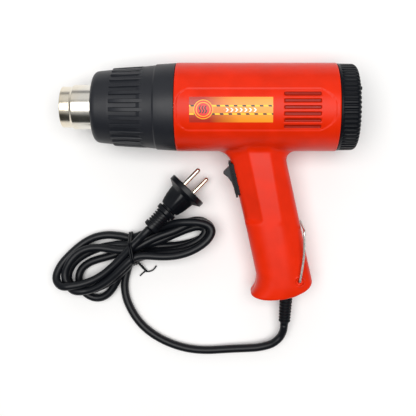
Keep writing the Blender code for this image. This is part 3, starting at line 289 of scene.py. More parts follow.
class Term:
    """A shader value. Python's operators on it add Math nodes."""

    def __init__(self, finish, socket):
        self.finish = finish
        self.socket = socket

    __add__ = __radd__ = maths("ADD")
    __mul__ = __rmul__ = maths("MULTIPLY")
    __sub__ = maths("SUBTRACT")
    __rsub__ = maths("SUBTRACT", swapped=True)
    __truediv__ = maths("DIVIDE")
    __abs__ = maths("ABSOLUTE")
    __lt__ = maths("LESS_THAN")
    __gt__ = maths("GREATER_THAN")
    fract = maths("FRACT")
    root = maths("SQRT")
    sine = maths("SINE")


class Finish:
    """One procedural material, built node by node round a single surface shader."""

    def __init__(self, name):
        self.material = bpy.data.materials.new(name)
        self.material.use_nodes = True
        self.tree = self.material.node_tree
        self.shader = self.tree.nodes["Principled BSDF"]
        self.places = {}
        self.colour = None

    def node(self, kind, settings=None, values=()):
        made = self.tree.nodes.new(kind)
        for key, value in (settings or {}).items():
            setattr(made, key, value)
        pairs = values.items() if isinstance(values, dict) else enumerate(values)
        for key, value in pairs:
            self.feed(made.inputs[key], value)
        return made

    def feed(self, socket, value):
        if isinstance(value, Term):
            self.tree.links.new(value.socket, socket)
        elif isinstance(value, bpy.types.NodeSocket):
            self.tree.links.new(value, socket)
        elif socket.type == "RGBA" and len(value) == 3:
            socket.default_value = (*value, 1.0)
        else:
            socket.default_value = value

    def set(self, **values):
        for key, value in values.items():
            self.feed(self.shader.inputs[key.replace("_", " ")], value)
        return self

    def place(self, axes="gun"):
        """Millimetres on the gun's own axes, or on the ground's."""
        if axes not in self.places:
            coordinates = self.node("ShaderNodeTexCoord")
            origin, turn = (GUN_ORIGIN, GUN_ROLL) if axes == "gun" else (GROUND_ORIGIN, 0.0)
            mapping = self.node("ShaderNodeMapping", {"vector_type": "TEXTURE"},
                                {"Vector": coordinates.outputs["Object"], "Location": origin,
                                 "Rotation": (turn, 0.0, 0.0), "Scale": (MM, MM, MM)})
            self.places[axes] = mapping.outputs[0]
        return self.places[axes]

    def xyz(self, axes="gun"):
        split = self.node("ShaderNodeSeparateXYZ", {}, [self.place(axes)])
        return [Term(self, socket) for socket in split.outputs]

    def noise(self, per_mm, detail=3.0, axes="gun", stretch=None):
        vector = self.place(axes)
        if stretch:
            vector = self.node("ShaderNodeVectorMath", {"operation": "MULTIPLY"},
                               [vector, stretch]).outputs[0]
        made = self.node("ShaderNodeTexNoise", {}, {"Vector": vector, "Scale": per_mm, "Detail": detail})
        return Term(self, made.outputs["Fac"])

    def ramp(self, value, low, high, to_low=0.0, to_high=1.0):
        made = self.node("ShaderNodeMapRange", {"clamp": True},
                         {"Value": value, "From Min": low, "From Max": high,
                                                                 "To Min": to_low, "To Max": to_high})
        return Term(self, made.outputs[0])

    def mix(self, share, a, b):
        made = self.node("ShaderNodeMix", {"data_type": "RGBA"})
        self.feed(made.inputs[0], share)
        self.feed(made.inputs[6], a)
        self.feed(made.inputs[7], b)
        return made.outputs[2]

    def bump(self, height, depth_mm, strength=1.0):
        made = self.node("ShaderNodeBump", {},
                         {"Height": height, "Strength": strength, "Distance": depth_mm * MM})
        self.set(Normal=made.outputs[0])
        return self


def tint(colour, factor):
    return tuple(min(1.0, max(0.0, part * factor)) for part in colour)


def moulded(name, colour, grain_mm, depth_mm, roughness, spread=0.06, axes="gun", shine=0.35):
    """Moulded plastic or rubber: fine spark grain, and slow changes of shade and shine."""
    f = Finish(name)
    slow = f.noise(0.06, 2.0, axes)
    fine = f.noise(1.0 / grain_mm, 2.0, axes)
    f.colour = f.mix(f.ramp(slow, 0.3, 0.7), tint(colour, 0.94), tint(colour, 1.07))
    f.set(Base_Color=f.colour,
          Roughness=f.ramp(slow + fine * 0.35, 0.4, 0.95, roughness - spread, roughness + spread),
          Specular_IOR_Level=shine)
    f.bump(fine, depth_mm)
    return f


def shell_plastic(colour):
    """The red moulding, darker down in the vents, where little light gets."""
    f = moulded("shell_plastic", colour, 0.55, 0.010, 0.34, shine=0.18)
    x, y, z = f.xyz()
    radius = (y * y + z * z).root()
    sunk = f.ramp(radius, VENT_FLOOR_R + 1.1, VENT_FLOOR_R + 0.3)
    here = (x > VENT_X[0] - 1.0) * (x < VENT_X[1] + 1.0) * (abs(y) < VENT_TOPS[0] + 3.0)
    return f.set(Base_Color=f.mix(sunk * here, f.colour, tint(colour, 0.42)))


def metal(name, colour, roughness, lines_per_mm=2.5, depth_mm=0.004, axes="gun", along=(1.0, 0.05, 0.05)):
    """Drawn or turned metal, with fine lines round it and faint clouding."""
    f = Finish(name)
    lines = f.noise(lines_per_mm, 2.0, axes, along)
    cloud = f.noise(0.12, 3.0, axes)
    f.set(Base_Color=f.mix(f.ramp(cloud, 0.35, 0.7), tint(colour, 0.9), tint(colour, 1.04)), Metallic=1.0,
          Roughness=f.ramp(cloud + lines * 0.4, 0.45, 0.95, roughness * 0.8, roughness * 1.3))
    f.bump(lines, depth_mm)
    return f


def nozzle_steel(colour):
    f = metal("nozzle_steel", colour, 0.21, 3.0, 0.002)
    x = f.xyz()[0]
    heat = f.ramp(x, NOZZLE_TIP, COLLAR_FRONT, 1.0, 0.0)
    cloud = f.noise(0.10, 3.0)
    straw = f.ramp(heat * 0.55 + cloud * 0.45, 0.35, 0.85)
    f.set(Base_Color=f.mix(straw, tint(colour, 0.92), (0.80, 0.71, 0.55)))
    return f


def label_print():
    """The label: red to orange, a band between dashed stripes, a round heat symbol and airflow chevrons."""
    f = Finish("label_print")
    x, y, _ = f.xyz()
    # Red at the front, through orange, to amber at the rear
    ground = f.mix(f.ramp(x + y * 0.25, -22.0, 2.0), (0.42, 0.018, 0.004), (0.90, 0.29, 0.012))
    ground = f.mix(f.ramp(x, 2.0, 29.0, 0.0, 0.5), ground, (0.94, 0.40, 0.015))
    level = abs(y - LABEL_MIDDLE)
    band = level < BAND_HALF
    ground = f.mix(band * f.ramp(x, -24.0, -6.0, 0.75, 0.2), ground, (0.92, 0.34, 0.012))
    stripe = abs(level - STRIPE_LEVEL) < STRIPE_HALF
    ground = f.mix(stripe, ground, STRIPE_YELLOW)
    dash = ((x + y * 0.4 + ALWAYS_PLUS) / DASH_PITCH).fract() < DASH_SHARE
    ground = f.mix(stripe * dash, ground, INK_BLACK)
    chevron = ((x + level * 0.9 + ALWAYS_PLUS) / CHEVRON_PITCH).fract() < CHEVRON_SHARE
    here = (level < CHEVRON_HALF) * (x > CHEVRON_SPAN[0]) * (x < CHEVRON_SPAN[1])
    ground = f.mix(chevron * here, ground, INK_WHITE)
    dx, dy = x - EMBLEM_AT[0], y - EMBLEM_AT[1]
    off = (dx * dx + dy * dy).root()
    ground = f.mix(off < EMBLEM_RIM_R, ground, AMBER)
    ground = f.mix(off < EMBLEM_FACE_R, ground, INK_RED)
    ground = f.mix(abs(off - EMBLEM_RING_R) < 0.35, ground, AMBER)
    wave = dx + (dy * 1.35).sine() * 0.55
    bars = abs(((wave + 30.0) / WAVE_PITCH).fract() - 0.5) < 0.24
    bars = bars * (abs(wave) < 1.5 * WAVE_PITCH) * (abs(dy) < 3.0)
    ground = f.mix(bars * (off < EMBLEM_HEART_R), ground, INK_BLACK)
    grain = f.noise(2.0, 2.0)
    f.set(Base_Color=ground, Roughness=f.ramp(grain, 0.3, 0.7, 0.28, 0.40))
    f.bump(grain, 0.004)
    return f


def finishes(colours):
    """Every material of the gun, by the record's slot."""
    dark = tuple(colours.rubber)
    made = {
        "red_plastic": shell_plastic(tuple(colours.shell)),
        "black_plastic": moulded("black_plastic", tuple(colours.cap), 0.6, 0.010, 0.36, shine=0.14),
        "collar": moulded("collar_plastic", tuple(colours.collar), 0.5, 0.014, 0.46, shine=0.35),
        "cord_rubber": moulded("lead_rubber", dark, 0.45, 0.010, 0.34, axes="ground", shine=0.24),
        "polished_steel": nozzle_steel(tuple(colours.steel)),
        "zinc_steel": metal("zinc_wire", (0.70, 0.70, 0.66), 0.26),
        "pin_nickel": metal("pin_nickel", (0.78, 0.73, 0.62), 0.20, axes="ground", along=(0.6, 0.6, 0.6)),
        "brass": metal("brass", (0.72, 0.50, 0.20), 0.28),
        "mica": moulded("mica", (0.50, 0.42, 0.28), 1.2, 0.03, 0.35, 0.12),
        "nichrome": metal("nichrome", (0.34, 0.32, 0.31), 0.42),
        "ferrite": moulded("ferrite", (0.045, 0.045, 0.05), 0.4, 0.02, 0.55),
        "print_film": label_print(),
        "board_green": moulded("board_green", (0.03, 0.16, 0.06), 0.8, 0.02, 0.40),
        "capacitor_yellow": moulded("capacitor_yellow", (0.62, 0.42, 0.04), 0.7, 0.01, 0.38),
        "wire_blue": moulded("wire_blue", (0.02, 0.08, 0.42), 0.5, 0.01, 0.42),
        "wire_brown": moulded("wire_brown", (0.16, 0.06, 0.02), 0.5, 0.01, 0.42),
    }
    return {slot: f.material for slot, f in made.items()}


# ---------------------------------------------------------------- meshes

MATERIAL_NAMES = {}
RECORD_SLOTS = set()


def plain_mesh(name, points, faces):
    mesh = bpy.data.meshes.new(name)
    mesh.from_pydata([tuple(p) for p in points], [], [tuple(f) for f in faces])
    return mesh


def linked(name, data):
    """A new object of the scene."""
    made = bpy.data.objects.new(name, data)
    bpy.context.scene.collection.objects.link(made)
    return made


def lists_of(mesh):
    return [tuple(v.co) for v in mesh.vertices], [tuple(p.vertices) for p in mesh.polygons]


def piece(name, points, faces, slot, place=GUN_PLACE, body="gun", sharp=None, replaces=()):
    """A finished piece from points in millimetres: placed, smoothed, given its material and its body."""
    return dress(name, plain_mesh(name, points, faces), slot, place, body, sharp, replaces)


def dress(name, mesh, slot, place=GUN_PLACE, body="gun", sharp=None, replaces=()):
    mesh.transform(place)
    mesh.name = name
    mesh.shade_smooth()
    if sharp is not None:
        mesh.set_sharp_from_angle(angle=radians(sharp))
    made = linked(name, mesh)
    mesh.materials.clear()
    mesh.materials.append(bpy.data.materials[MATERIAL_NAMES[slot]])
    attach(made, body)
    if replaces:
        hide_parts(*replaces)
    return made


def joined(*parts):
    """Several lists of points and faces as one."""
    points, faces = [], []
    for some_points, some_faces in parts:
        start = len(points)
        points += [tuple(p) for p in some_points]
        faces += [tuple(i + start for i in face) for face in some_faces]
    return points, faces


def ring_faces(rings, sides, closed=False):
    """The faces between rings of points, with a cap on each end unless the rings close on themselves."""
    faces = []
    for i in range(rings if closed else rings - 1):
        here, there = i * sides, (i + 1) % rings * sides
        faces += [(here + k, here + (k + 1) % sides, there + (k + 1) % sides,
                   there + k) for k in range(sides)]
    if not closed:
        last = (rings - 1) * sides
        faces += [tuple(range(sides)), tuple(range(last, last + sides))]
    return faces


def revolve(profile, turns, centre=(0.0, 0.0, 0.0), axis=(1.0, 0.0, 0.0), shape=None):
    """A closed profile of (along, radius) turned round an axis. A shape moves each of its points."""
    centre, axis = np.array(centre, float), np.array(axis, float)
    axis /= np.linalg.norm(axis)
    side = np.cross(axis, (0.0, 0.0, 1.0))
    side /= np.linalg.norm(side)
    across = np.cross(axis, side)
    angles = np.arange(turns) * tau / turns
    points = []
    for i, (along, radius) in enumerate(profile):
        extra = shape(i, angles) if shape else (0.0, 0.0)
        out = radius + extra[1]
        ring = (centre + np.multiply.outer(along + extra[0] * np.ones(turns), axis)
                + np.multiply.outer(out * np.cos(angles), side) + np.multiply.outer(out * np.sin(angles),
                                                                                    across))
        points.append(ring)
    return outward(np.concatenate(points), ring_faces(len(profile), turns, closed=True))


def outward(points, faces):
    """The same closed mesh with every face pointing out."""
    bm = bmesh.new()
    made = [bm.verts.new(p) for p in points]
    for face in faces:
        bm.faces.new([made[i] for i in face])
    bmesh.ops.recalc_face_normals(bm, faces=bm.faces)
    if bm.calc_volume(signed=True) < 0.0:
        bmesh.ops.reverse_faces(bm, faces=bm.faces)
    bm.verts.index_update()
    result = [tuple(v.co) for v in bm.verts], [tuple(v.index for v in f.verts) for f in bm.faces]
    bm.free()
    return result


def rounded(profile, radius, steps=4):
    """A closed profile with each corner turned into a small arc."""
    result = []
    count = len(profile)
    for i in range(count):
        a, b, c = (np.array(profile[(i + k) % count], float) for k in (-1, 0, 1))
        before, after = a - b, c - b
        cut = min(radius, 0.45 * np.linalg.norm(before), 0.45 * np.linalg.norm(after))
        start = b + before / np.linalg.norm(before) * cut
        end = b + after / np.linalg.norm(after) * cut
        for k in range(steps + 1):
            t = k / steps
            result.append(tuple((1 - t) ** 2 * start + 2 * t * (1 - t) * b + t * t * end))
    return result


def curve_through(points, step, closed=False):
    """Evenly spaced points along a smooth curve through the given ones."""
    route = np.array(points, float)
    count = len(route)
    fine = []
    for i in range(count if closed else count - 1):
        before = route[i - 1] if closed or i else 2 * route[0] - route[1]
        b, c = route[i], route[(i + 1) % count]
        after = route[(i + 2) % count] if closed or i + 2 < count else 2 * route[-1] - route[-2]
        t = np.arange(12)[:, None] / 12.0
        fine.append(0.5 * (2 * b + (c - before) * t + (2 * before - 5 * b + 4 * c - after) * t ** 2
                           + (3 * b - before - 3 * c + after) * t ** 3))
    fine = np.concatenate([*fine, route[:1] if closed else route[-1:]])
    along = np.concatenate([[0.0], np.cumsum(np.linalg.norm(np.diff(fine, axis=0), axis=1))])
    want = np.linspace(0.0, along[-1], max(2, ceil(along[-1] / step)) + 1)
    even = np.stack([np.interp(want, along, fine[:, k]) for k in range(3)], axis=1)
    return even[:-1] if closed else even


def sweep(path, radius, sides=12, closed=False):
    """A tube along a path, turned as little as it can be from ring to ring."""
    path = np.array(path, float)
    count = len(path)
    ahead = np.roll(path, -1, axis=0) - np.roll(path, 1, axis=0)
    if not closed:
        ahead[0], ahead[-1] = path[1] - path[0], path[-1] - path[-2]
    ahead /= np.linalg.norm(ahead, axis=1)[:, None]
    side = np.cross(ahead[0], (0.0, 0.0, 1.0))
    if np.linalg.norm(side) < 1e-3:
        side = np.cross(ahead[0], (1.0, 0.0, 0.0))
    sides_out = []
    for direction in ahead:
        side = side - direction * side.dot(direction)
        side /= np.linalg.norm(side)
        sides_out.append(side)
    sides_out = np.array(sides_out)
    across = np.cross(ahead, sides_out)
    if closed:
        twist = np.arctan2(sides_out[0].dot(across[-1]), sides_out[0].dot(sides_out[-1]))
        turn = np.linspace(0.0, twist, count)[:, None]
        sides_out, across = (sides_out * np.cos(turn) + across * np.sin(turn),
                             across * np.cos(turn) - sides_out * np.sin(turn))
    angles = np.arange(sides) * tau / sides
    size = np.broadcast_to(np.asarray(radius, float), (count,))
    points = (path[:, None] + size[:, None, None] * (np.cos(angles)[None, :, None] * sides_out[:, None]
                                                     + np.sin(angles)[None, :, None] * across[:, None]))
    return outward(points.reshape(-1, 3), ring_faces(count, sides, closed))


# ---------------------------------------------------------------- Geometry Nodes

def node_tree(name, sizes):
    """An empty tree that takes a unit shape, the given named sizes and a finish."""
    tree = bpy.data.node_groups.new(name, "GeometryNodeTree")
    tree.interface.new_socket("Unit", in_out="INPUT", socket_type="NodeSocketGeometry")
    for size, kind in sizes:
        tree.interface.new_socket(size, in_out="INPUT", socket_type=kind)
    tree.interface.new_socket("Finish", in_out="INPUT", socket_type="NodeSocketMaterial")
    tree.interface.new_socket("Geometry", in_out="OUTPUT", socket_type="NodeSocketGeometry")
    source = tree.nodes.new("NodeGroupInput")
    result = tree.nodes.new("NodeGroupOutput")
    return tree, source, result


def place_copies(tree, source, result, rotation=None, offset=None, scale=None):
    """Copies of the unit on a row of points, made real and given the finish."""
    link = tree.links.new
    row = tree.nodes.new("GeometryNodeMeshLine")
    link(source.outputs["Count"], row.inputs["Count"])
    row.inputs["Offset"].default_value = (0.0, 0.0, 0.0)
    if offset is not None:
        link(offset, row.inputs["Offset"])
    copies = tree.nodes.new("GeometryNodeInstanceOnPoints")
    link(row.outputs[0], copies.inputs["Points"])
    link(source.outputs["Unit"], copies.inputs["Instance"])
    if rotation is not None:
        link(rotation, copies.inputs["Rotation"])
    if scale is not None:
        link(scale, copies.inputs["Scale"])
    real = tree.nodes.new("GeometryNodeRealizeInstances")
    finish = tree.nodes.new("GeometryNodeSetMaterial")
    link(copies.outputs[0], real.inputs[0])
    link(real.outputs[0], finish.inputs["Geometry"])
    link(source.outputs["Finish"], finish.inputs["Material"])
    link(finish.outputs[0], result.inputs[0])


def tree_math(tree, operation, a, b):
    node = tree.nodes.new("ShaderNodeMath")
    node.operation = operation
    for socket, value in zip(node.inputs, (a, b)):
        if isinstance(value, bpy.types.NodeSocket):
            tree.links.new(value, socket)
        else:
            socket.default_value = value
    return node.outputs[0]


def round_tree():
    """Copies of a unit spread evenly round the X axis."""
    tree, source, result = node_tree("spread_round",
                                     (("Count", "NodeSocketInt"), ("Start", "NodeSocketFloat")))
    index = tree.nodes.new("GeometryNodeInputIndex").outputs[0]
    step = tree_math(tree, "DIVIDE", tau, source.outputs["Count"])
    turn = tree_math(tree, "ADD", tree_math(tree, "MULTIPLY", index, step), source.outputs["Start"])
    angles = tree.nodes.new("ShaderNodeCombineXYZ")
    tree.links.new(turn, angles.inputs[0])
    place_copies(tree, source, result, rotation=angles.outputs[0])
    return tree


def row_tree():
    """Copies of a unit along a line, each a little smaller than the one before."""
    tree, source, result = node_tree("spread_along",
                                     (("Count", "NodeSocketInt"), ("Pitch", "NodeSocketVector"),
                                                      ("Taper", "NodeSocketFloat")))
    index = tree.nodes.new("GeometryNodeInputIndex").outputs[0]
    size = tree_math(tree, "SUBTRACT", 1.0, tree_math(tree, "MULTIPLY", index, source.outputs["Taper"]))
    place_copies(tree, source, result, offset=source.outputs["Pitch"], scale=size)
    return tree


def grow(tree, unit, sizes, slot):
    """The plain mesh that a tree makes of a unit shape, as points and faces in millimetres."""
    mesh = plain_mesh("unit", *unit)
    holder = linked("unit", mesh)
    modifier = holder.modifiers.new("copies", "NODES")
    modifier.node_group = tree
    values = dict(sizes, Finish=bpy.data.materials[MATERIAL_NAMES[slot]])
    for item in tree.interface.items_tree:
        if item.item_type == "SOCKET" and item.in_out == "INPUT" and item.name in values:
            modifier[item.identifier] = values[item.name]
    seen = holder.evaluated_get(bpy.context.evaluated_depsgraph_get())
    plain = bpy.data.meshes.new_from_object(seen)
    result = lists_of(plain)
    bpy.data.objects.remove(holder)
    bpy.data.meshes.remove(mesh)
    bpy.data.meshes.remove(plain)
    return result


# ---------------------------------------------------------------- moulded shells

def smooth_max(a, b, radius):
    """The larger of two distances, with the edge between them rounded."""
    mix = np.clip(0.5 + 0.5 * (a - b) / radius, 0.0, 1.0)
    return b + (a - b) * mix + radius * mix * (1.0 - mix)


def filleted(a, b, radius):
    """Two distances joined, with a round fillet in the corner between them."""
    return np.maximum(radius, np.minimum(a, b)) - np.hypot(np.maximum(radius - a, 0.0),
                                                           np.maximum(radius - b, 0.0))


def eased(value, low, high):
    t = np.clip((value - low) / (high - low), 0.0, 1.0)
    return t * t * (3.0 - 2.0 * t)


ROW_HEIGHTS = np.arange(-170.0, 41.0, 0.5)
ROWS = np.array(HANDLE_ROWS[::-1])
SMOOTH = np.hanning(15) / np.hanning(15).sum()


def row_curve(column):
    line = np.interp(ROW_HEIGHTS, ROWS[:, 0], ROWS[:, column])
    padded = np.concatenate([np.full(7, line[0]), line, np.full(7, line[-1])])
    return np.convolve(padded, SMOOTH, mode="valid")


CURVES = [row_curve(column) for column in range(1, 6)]
END_X = np.arange(0.0, 72.0, 0.5)
END_Y = np.convolve(np.pad(np.interp(END_X, *zip(*HANDLE_END)), 7, mode="edge"), SMOOTH, mode="valid")


def facet(x, z, at, to):
    """Signed distance outside the line from one point of the section to another."""
    (ax, az), (bx, bz) = at, to
    dx, dz = bx - ax, bz - az
    return (-(x - ax) * dz + (z - az) * dx) / np.sqrt(dx * dx + dz * dz)


def cut(body, *others):
    """A distance with others taken away from it."""
    for other in others:
        body = np.maximum(body, -other)
    return body


def handle_distance(x, y, z):
    """The distance to the outside of the handle."""
    front, rear, ridge_front, ridge_rear, half = (np.interp(y, ROW_HEIGHTS, curve) for curve in CURVES)
    z = np.abs(z)
    # Above the scoop's end the front is a broad flat facet, and below it the section is full and round
    full = eased(-y, -SCOOP_END - 2.0, -SCOOP_END + 3.0)
    low = 6.2 + 4.8 * full
    run = ridge_front + (front + 9.0 - ridge_front) * full * 0.75
    front_facet = facet(x, z, (front, low), (run, half + 0.2 * full))
    rear_facet = facet(x, z, (ridge_rear, half), (rear - 3.0, half * 0.62))
    body = smooth_max(front - x, x - rear, 1.0)
    top = smooth_max(z - half, rear_facet, 1.2 + 1.6 * full)
    top = smooth_max(top, front_facet, 0.5 + 3.4 * full)
    body = smooth_max(body, top, 5.0)
    end = (np.interp(x, END_X, END_Y) - y) * 0.96
    return smooth_max(body, end, 2.2)


def barrel_distance(x, r, radius):
    """The distance to the outside of the barrel, with its two rims a little rounded."""
    edge = 0.7
    middle, half = (HOUSING_FRONT + HOUSING_REAR) / 2.0, (HOUSING_REAR - HOUSING_FRONT) / 2.0
    qx, qr = np.abs(x - middle) - half + edge, r - radius + edge
    return np.hypot(np.maximum(qx, 0.0), np.maximum(qr, 0.0)) + np.minimum(np.maximum(qx, qr), 0.0) - edge


def box_distance(points, centre, axes, half):
    """Distance to a block that stands on three directions."""
    offset = [c - o for c, o in zip(points, centre)]
    q = [np.abs(sum(o * a for o, a in zip(offset, axis))) - h for axis, h in zip(axes, half)]
    return np.maximum(np.maximum(q[0], q[1]), q[2])


def rod_distance(points, root, axis, radius, low, high):
    offset = [c - o for c, o in zip(points, root)]
    along = sum(o * a for o, a in zip(offset, axis))
    across = np.sqrt(np.maximum(sum(o * o for o in offset) - along * along, 0.0))
    return np.maximum(np.maximum(across - radius, low - along), along - high)


RAKED = (tuple(RAKE_DOWN), tuple(RAKE_OUT), (0.0, 0.0, 1.0))


def shell_distance(side, barrel_r):
    """The distance to one moulded half, as a function of the place in millimetres."""
    relief = (RELIEF_TIP - RELIEF_ROOT).normalized()
    seat_at = SWITCH_TOP + RAKE_DOWN * SWITCH_LENGTH / 2.0
    seat = tuple(seat_at - RAKE_OUT * (SWITCH_FLANGE + FIT_GAP - 4.0))
    hole = tuple(seat_at - RAKE_OUT * 6.0)
    seat_half = (SWITCH_LENGTH / 2.0 + FIT_GAP, 4.0, SWITCH_WIDTH / 2.0 + FIT_GAP)
    hole_half = (13.6, 14.0, 6.2)
    vent_middle, vent_reach = sum(VENT_X) / 2.0, (VENT_X[1] - VENT_X[0]) / 2.0

    def distance(x, y, z):
        r = np.sqrt(y * y + z * z)
        here = (x, y, z)
        flat = np.abs(z)
        handle = handle_distance(x, y, z)
        barrel = barrel_distance(x, r, barrel_r)
        fillet = 4.0 + 5.0 * (1.0 - eased(flat, 5.0, 15.0))
        body = filleted(barrel, np.maximum(handle, y + HANDLE_TOP), fillet)
        x0, x1, half = PANEL
        across = np.abs(y) / half
        panel = np.maximum(np.abs(y) - half,
                           np.maximum(x - x1 + 12.0 * across ** 3, x0 + 8.0 * across ** 4 - x))
        body = smooth_max(body, -np.maximum(panel, barrel_r - PANEL_DEPTH - r), 0.25)
        for level in VENT_TOPS:
            slot = np.maximum(np.abs(y - level) - VENT_HALF, np.abs(x - vent_middle) - vent_reach)
            body = cut(body, np.maximum(slot, VENT_FLOOR_R - r))
        inner = np.minimum(r - BORE_R, np.maximum(handle + WALL, y + HANDLE_TOP))
        for at in SCREWS:
            off = np.hypot(x - at[0], y - at[1])
            inner = np.maximum(inner, SCREW_POST_R - off)
            if side < 0:
                body = cut(body, np.maximum(off - SCREW_HEAD_R, z + 13.0))
            body = cut(body, np.maximum(off - SCREW_SHANK_R, flat - 13.5))
        body = cut(body, inner, box_distance(here, seat, RAKED, seat_half),
                   box_distance(here, hole, RAKED, hole_half),
                   rod_distance(here, RELIEF_ROOT, relief, RELIEF_R + FIT_GAP, -8.0, 14.0))
        off = np.hypot(x - HANGER_PIVOT[0], y - HANGER_PIVOT[1])
        ring = np.hypot(off - DIMPLE_RING_R, flat - 16.0) - 0.55
        body = np.where(ring < 2.0, smooth_max(-smooth_max(-body, -ring, 0.6), -1e3, 0.1), body)
        body = cut(body, np.maximum(off - DIMPLE_R, DIMPLE_FLOOR - flat))
        body = np.maximum(body, HANGER_R + 0.35 - off)
        return smooth_max(body, PART_GAP - side * z, 0.35)

    return distance


def skinned(distance, low, high, step):
    """A closed skin on the zero of a distance: one point in each grid cell that it crosses, moved onto it."""
    axes = [np.arange(a, b + step, step) for a, b in zip(low, high)]
    value = distance(*np.meshgrid(*axes, indexing="ij", sparse=True)).astype(np.float32)
    inside = value < 0.0
    shape = [len(axis) - 1 for axis in axes]
    total, weight = np.zeros((*shape, 3), np.float32), np.zeros(shape, np.float32)
    for a in range(3):
        b, c = (a + 1) % 3, (a + 2) % 3
        lower = [slice(None)] * 3
        upper = [slice(None)] * 3
        lower[a], upper[a] = slice(None, -1), slice(1, None)
        v0, v1 = value[tuple(lower)], value[tuple(upper)]
        crossed = (v0 < 0.0) != (v1 < 0.0)
        part = np.where(crossed, v0 / np.where(crossed, v0 - v1, 1.0), 0.0)
        for sb in (0, 1):
            for sc in (0, 1):
                pick = [slice(None)] * 3
                pick[b] = slice(sb, sb + shape[b])
                pick[c] = slice(sc, sc + shape[c])
                here = crossed[tuple(pick)]
                weight += here
                total[..., a] += np.where(here, part[tuple(pick)], 0.0)
                total[..., b] += here * float(sb)
                total[..., c] += here * float(sc)
    mixed = weight > 0
    number = np.full(shape, -1, np.int64)
    number[mixed] = np.arange(int(mixed.sum()))
    cells = np.argwhere(mixed)
    points = (cells + total[mixed] / weight[mixed][:, None]) * step + np.array(low)
    for _ in range(2):
        points = settled(distance, points, step)
    faces = []
    for a in range(3):
        b, c = (a + 1) % 3, (a + 2) % 3
        inner = [slice(1, -1)] * 3
        first, second = list(inner), list(inner)
        first[a], second[a] = slice(None, -1), slice(1, None)
        s0, s1 = inside[tuple(first)], inside[tuple(second)]
        at = np.argwhere(s0 != s1)
        leads = s0[tuple(at.T)]
        at[:, b] += 1
        at[:, c] += 1
        corners = []
        for db, dc in ((-1, -1), (0, -1), (0, 0), (-1, 0)):
            cell = at.copy()
            cell[:, b] += db
            cell[:, c] += dc
            corners.append(number[tuple(cell.T)])
        quads = np.stack(corners, axis=1)
        faces.append(np.where(leads[:, None], quads, quads[:, ::-1]))
    return points, np.concatenate(faces)


def settled(distance, points, step):
    """Points moved onto the zero of a distance along its slope, by no more than half a cell."""
    tiny = 0.04
    x, y, z = points.T
    value = distance(x, y, z)
    slope = np.stack([distance(x + tiny, y, z) - distance(x - tiny, y, z),
                      distance(x, y + tiny, z) - distance(x, y - tiny, z),
                      distance(x, y, z + tiny) - distance(x, y, z - tiny)], axis=1) / (2.0 * tiny)
    steep = np.maximum((slope ** 2).sum(axis=1), 0.25)
    move = -(value / steep)[:, None] * slope
    size = np.linalg.norm(move, axis=1)[:, None]
    return points + move * np.minimum(1.0, 0.5 * step / np.maximum(size, 1e-9))


def mesh_of(name, points, faces):
    mesh = bpy.data.meshes.new(name)
    mesh.vertices.add(len(points))
    mesh.vertices.foreach_set("co", np.asarray(points, np.float32).ravel())
    sides = faces.shape[1]
    mesh.loops.add(faces.size)
    mesh.loops.foreach_set("vertex_index", faces.astype(np.int32).ravel())
    mesh.polygons.add(len(faces))
    mesh.polygons.foreach_set("loop_start", np.arange(0, faces.size, sides, dtype=np.int32))
    mesh.update(calc_edges=True)
    mesh.validate()
    return mesh


# ---------------------------------------------------------------- the lead

def lead_line(diameter):
    """The lead's whole centreline in millimetres, from the strain relief to the plug's boot."""
    route = list(LEAD_ROUTE)
    for k, turn in enumerate(TURNS):
        level = diameter * (k + 0.5) + GROUND_GAP + 1.2 * k
        route += [(*point, level)[:3] for point in turn]
    route += TAIL
    line = np.concatenate([[LEAD_ROUTE[0]], curve_through(route[1:], diameter * 0.5)])
    return settle_lead(line, diameter)


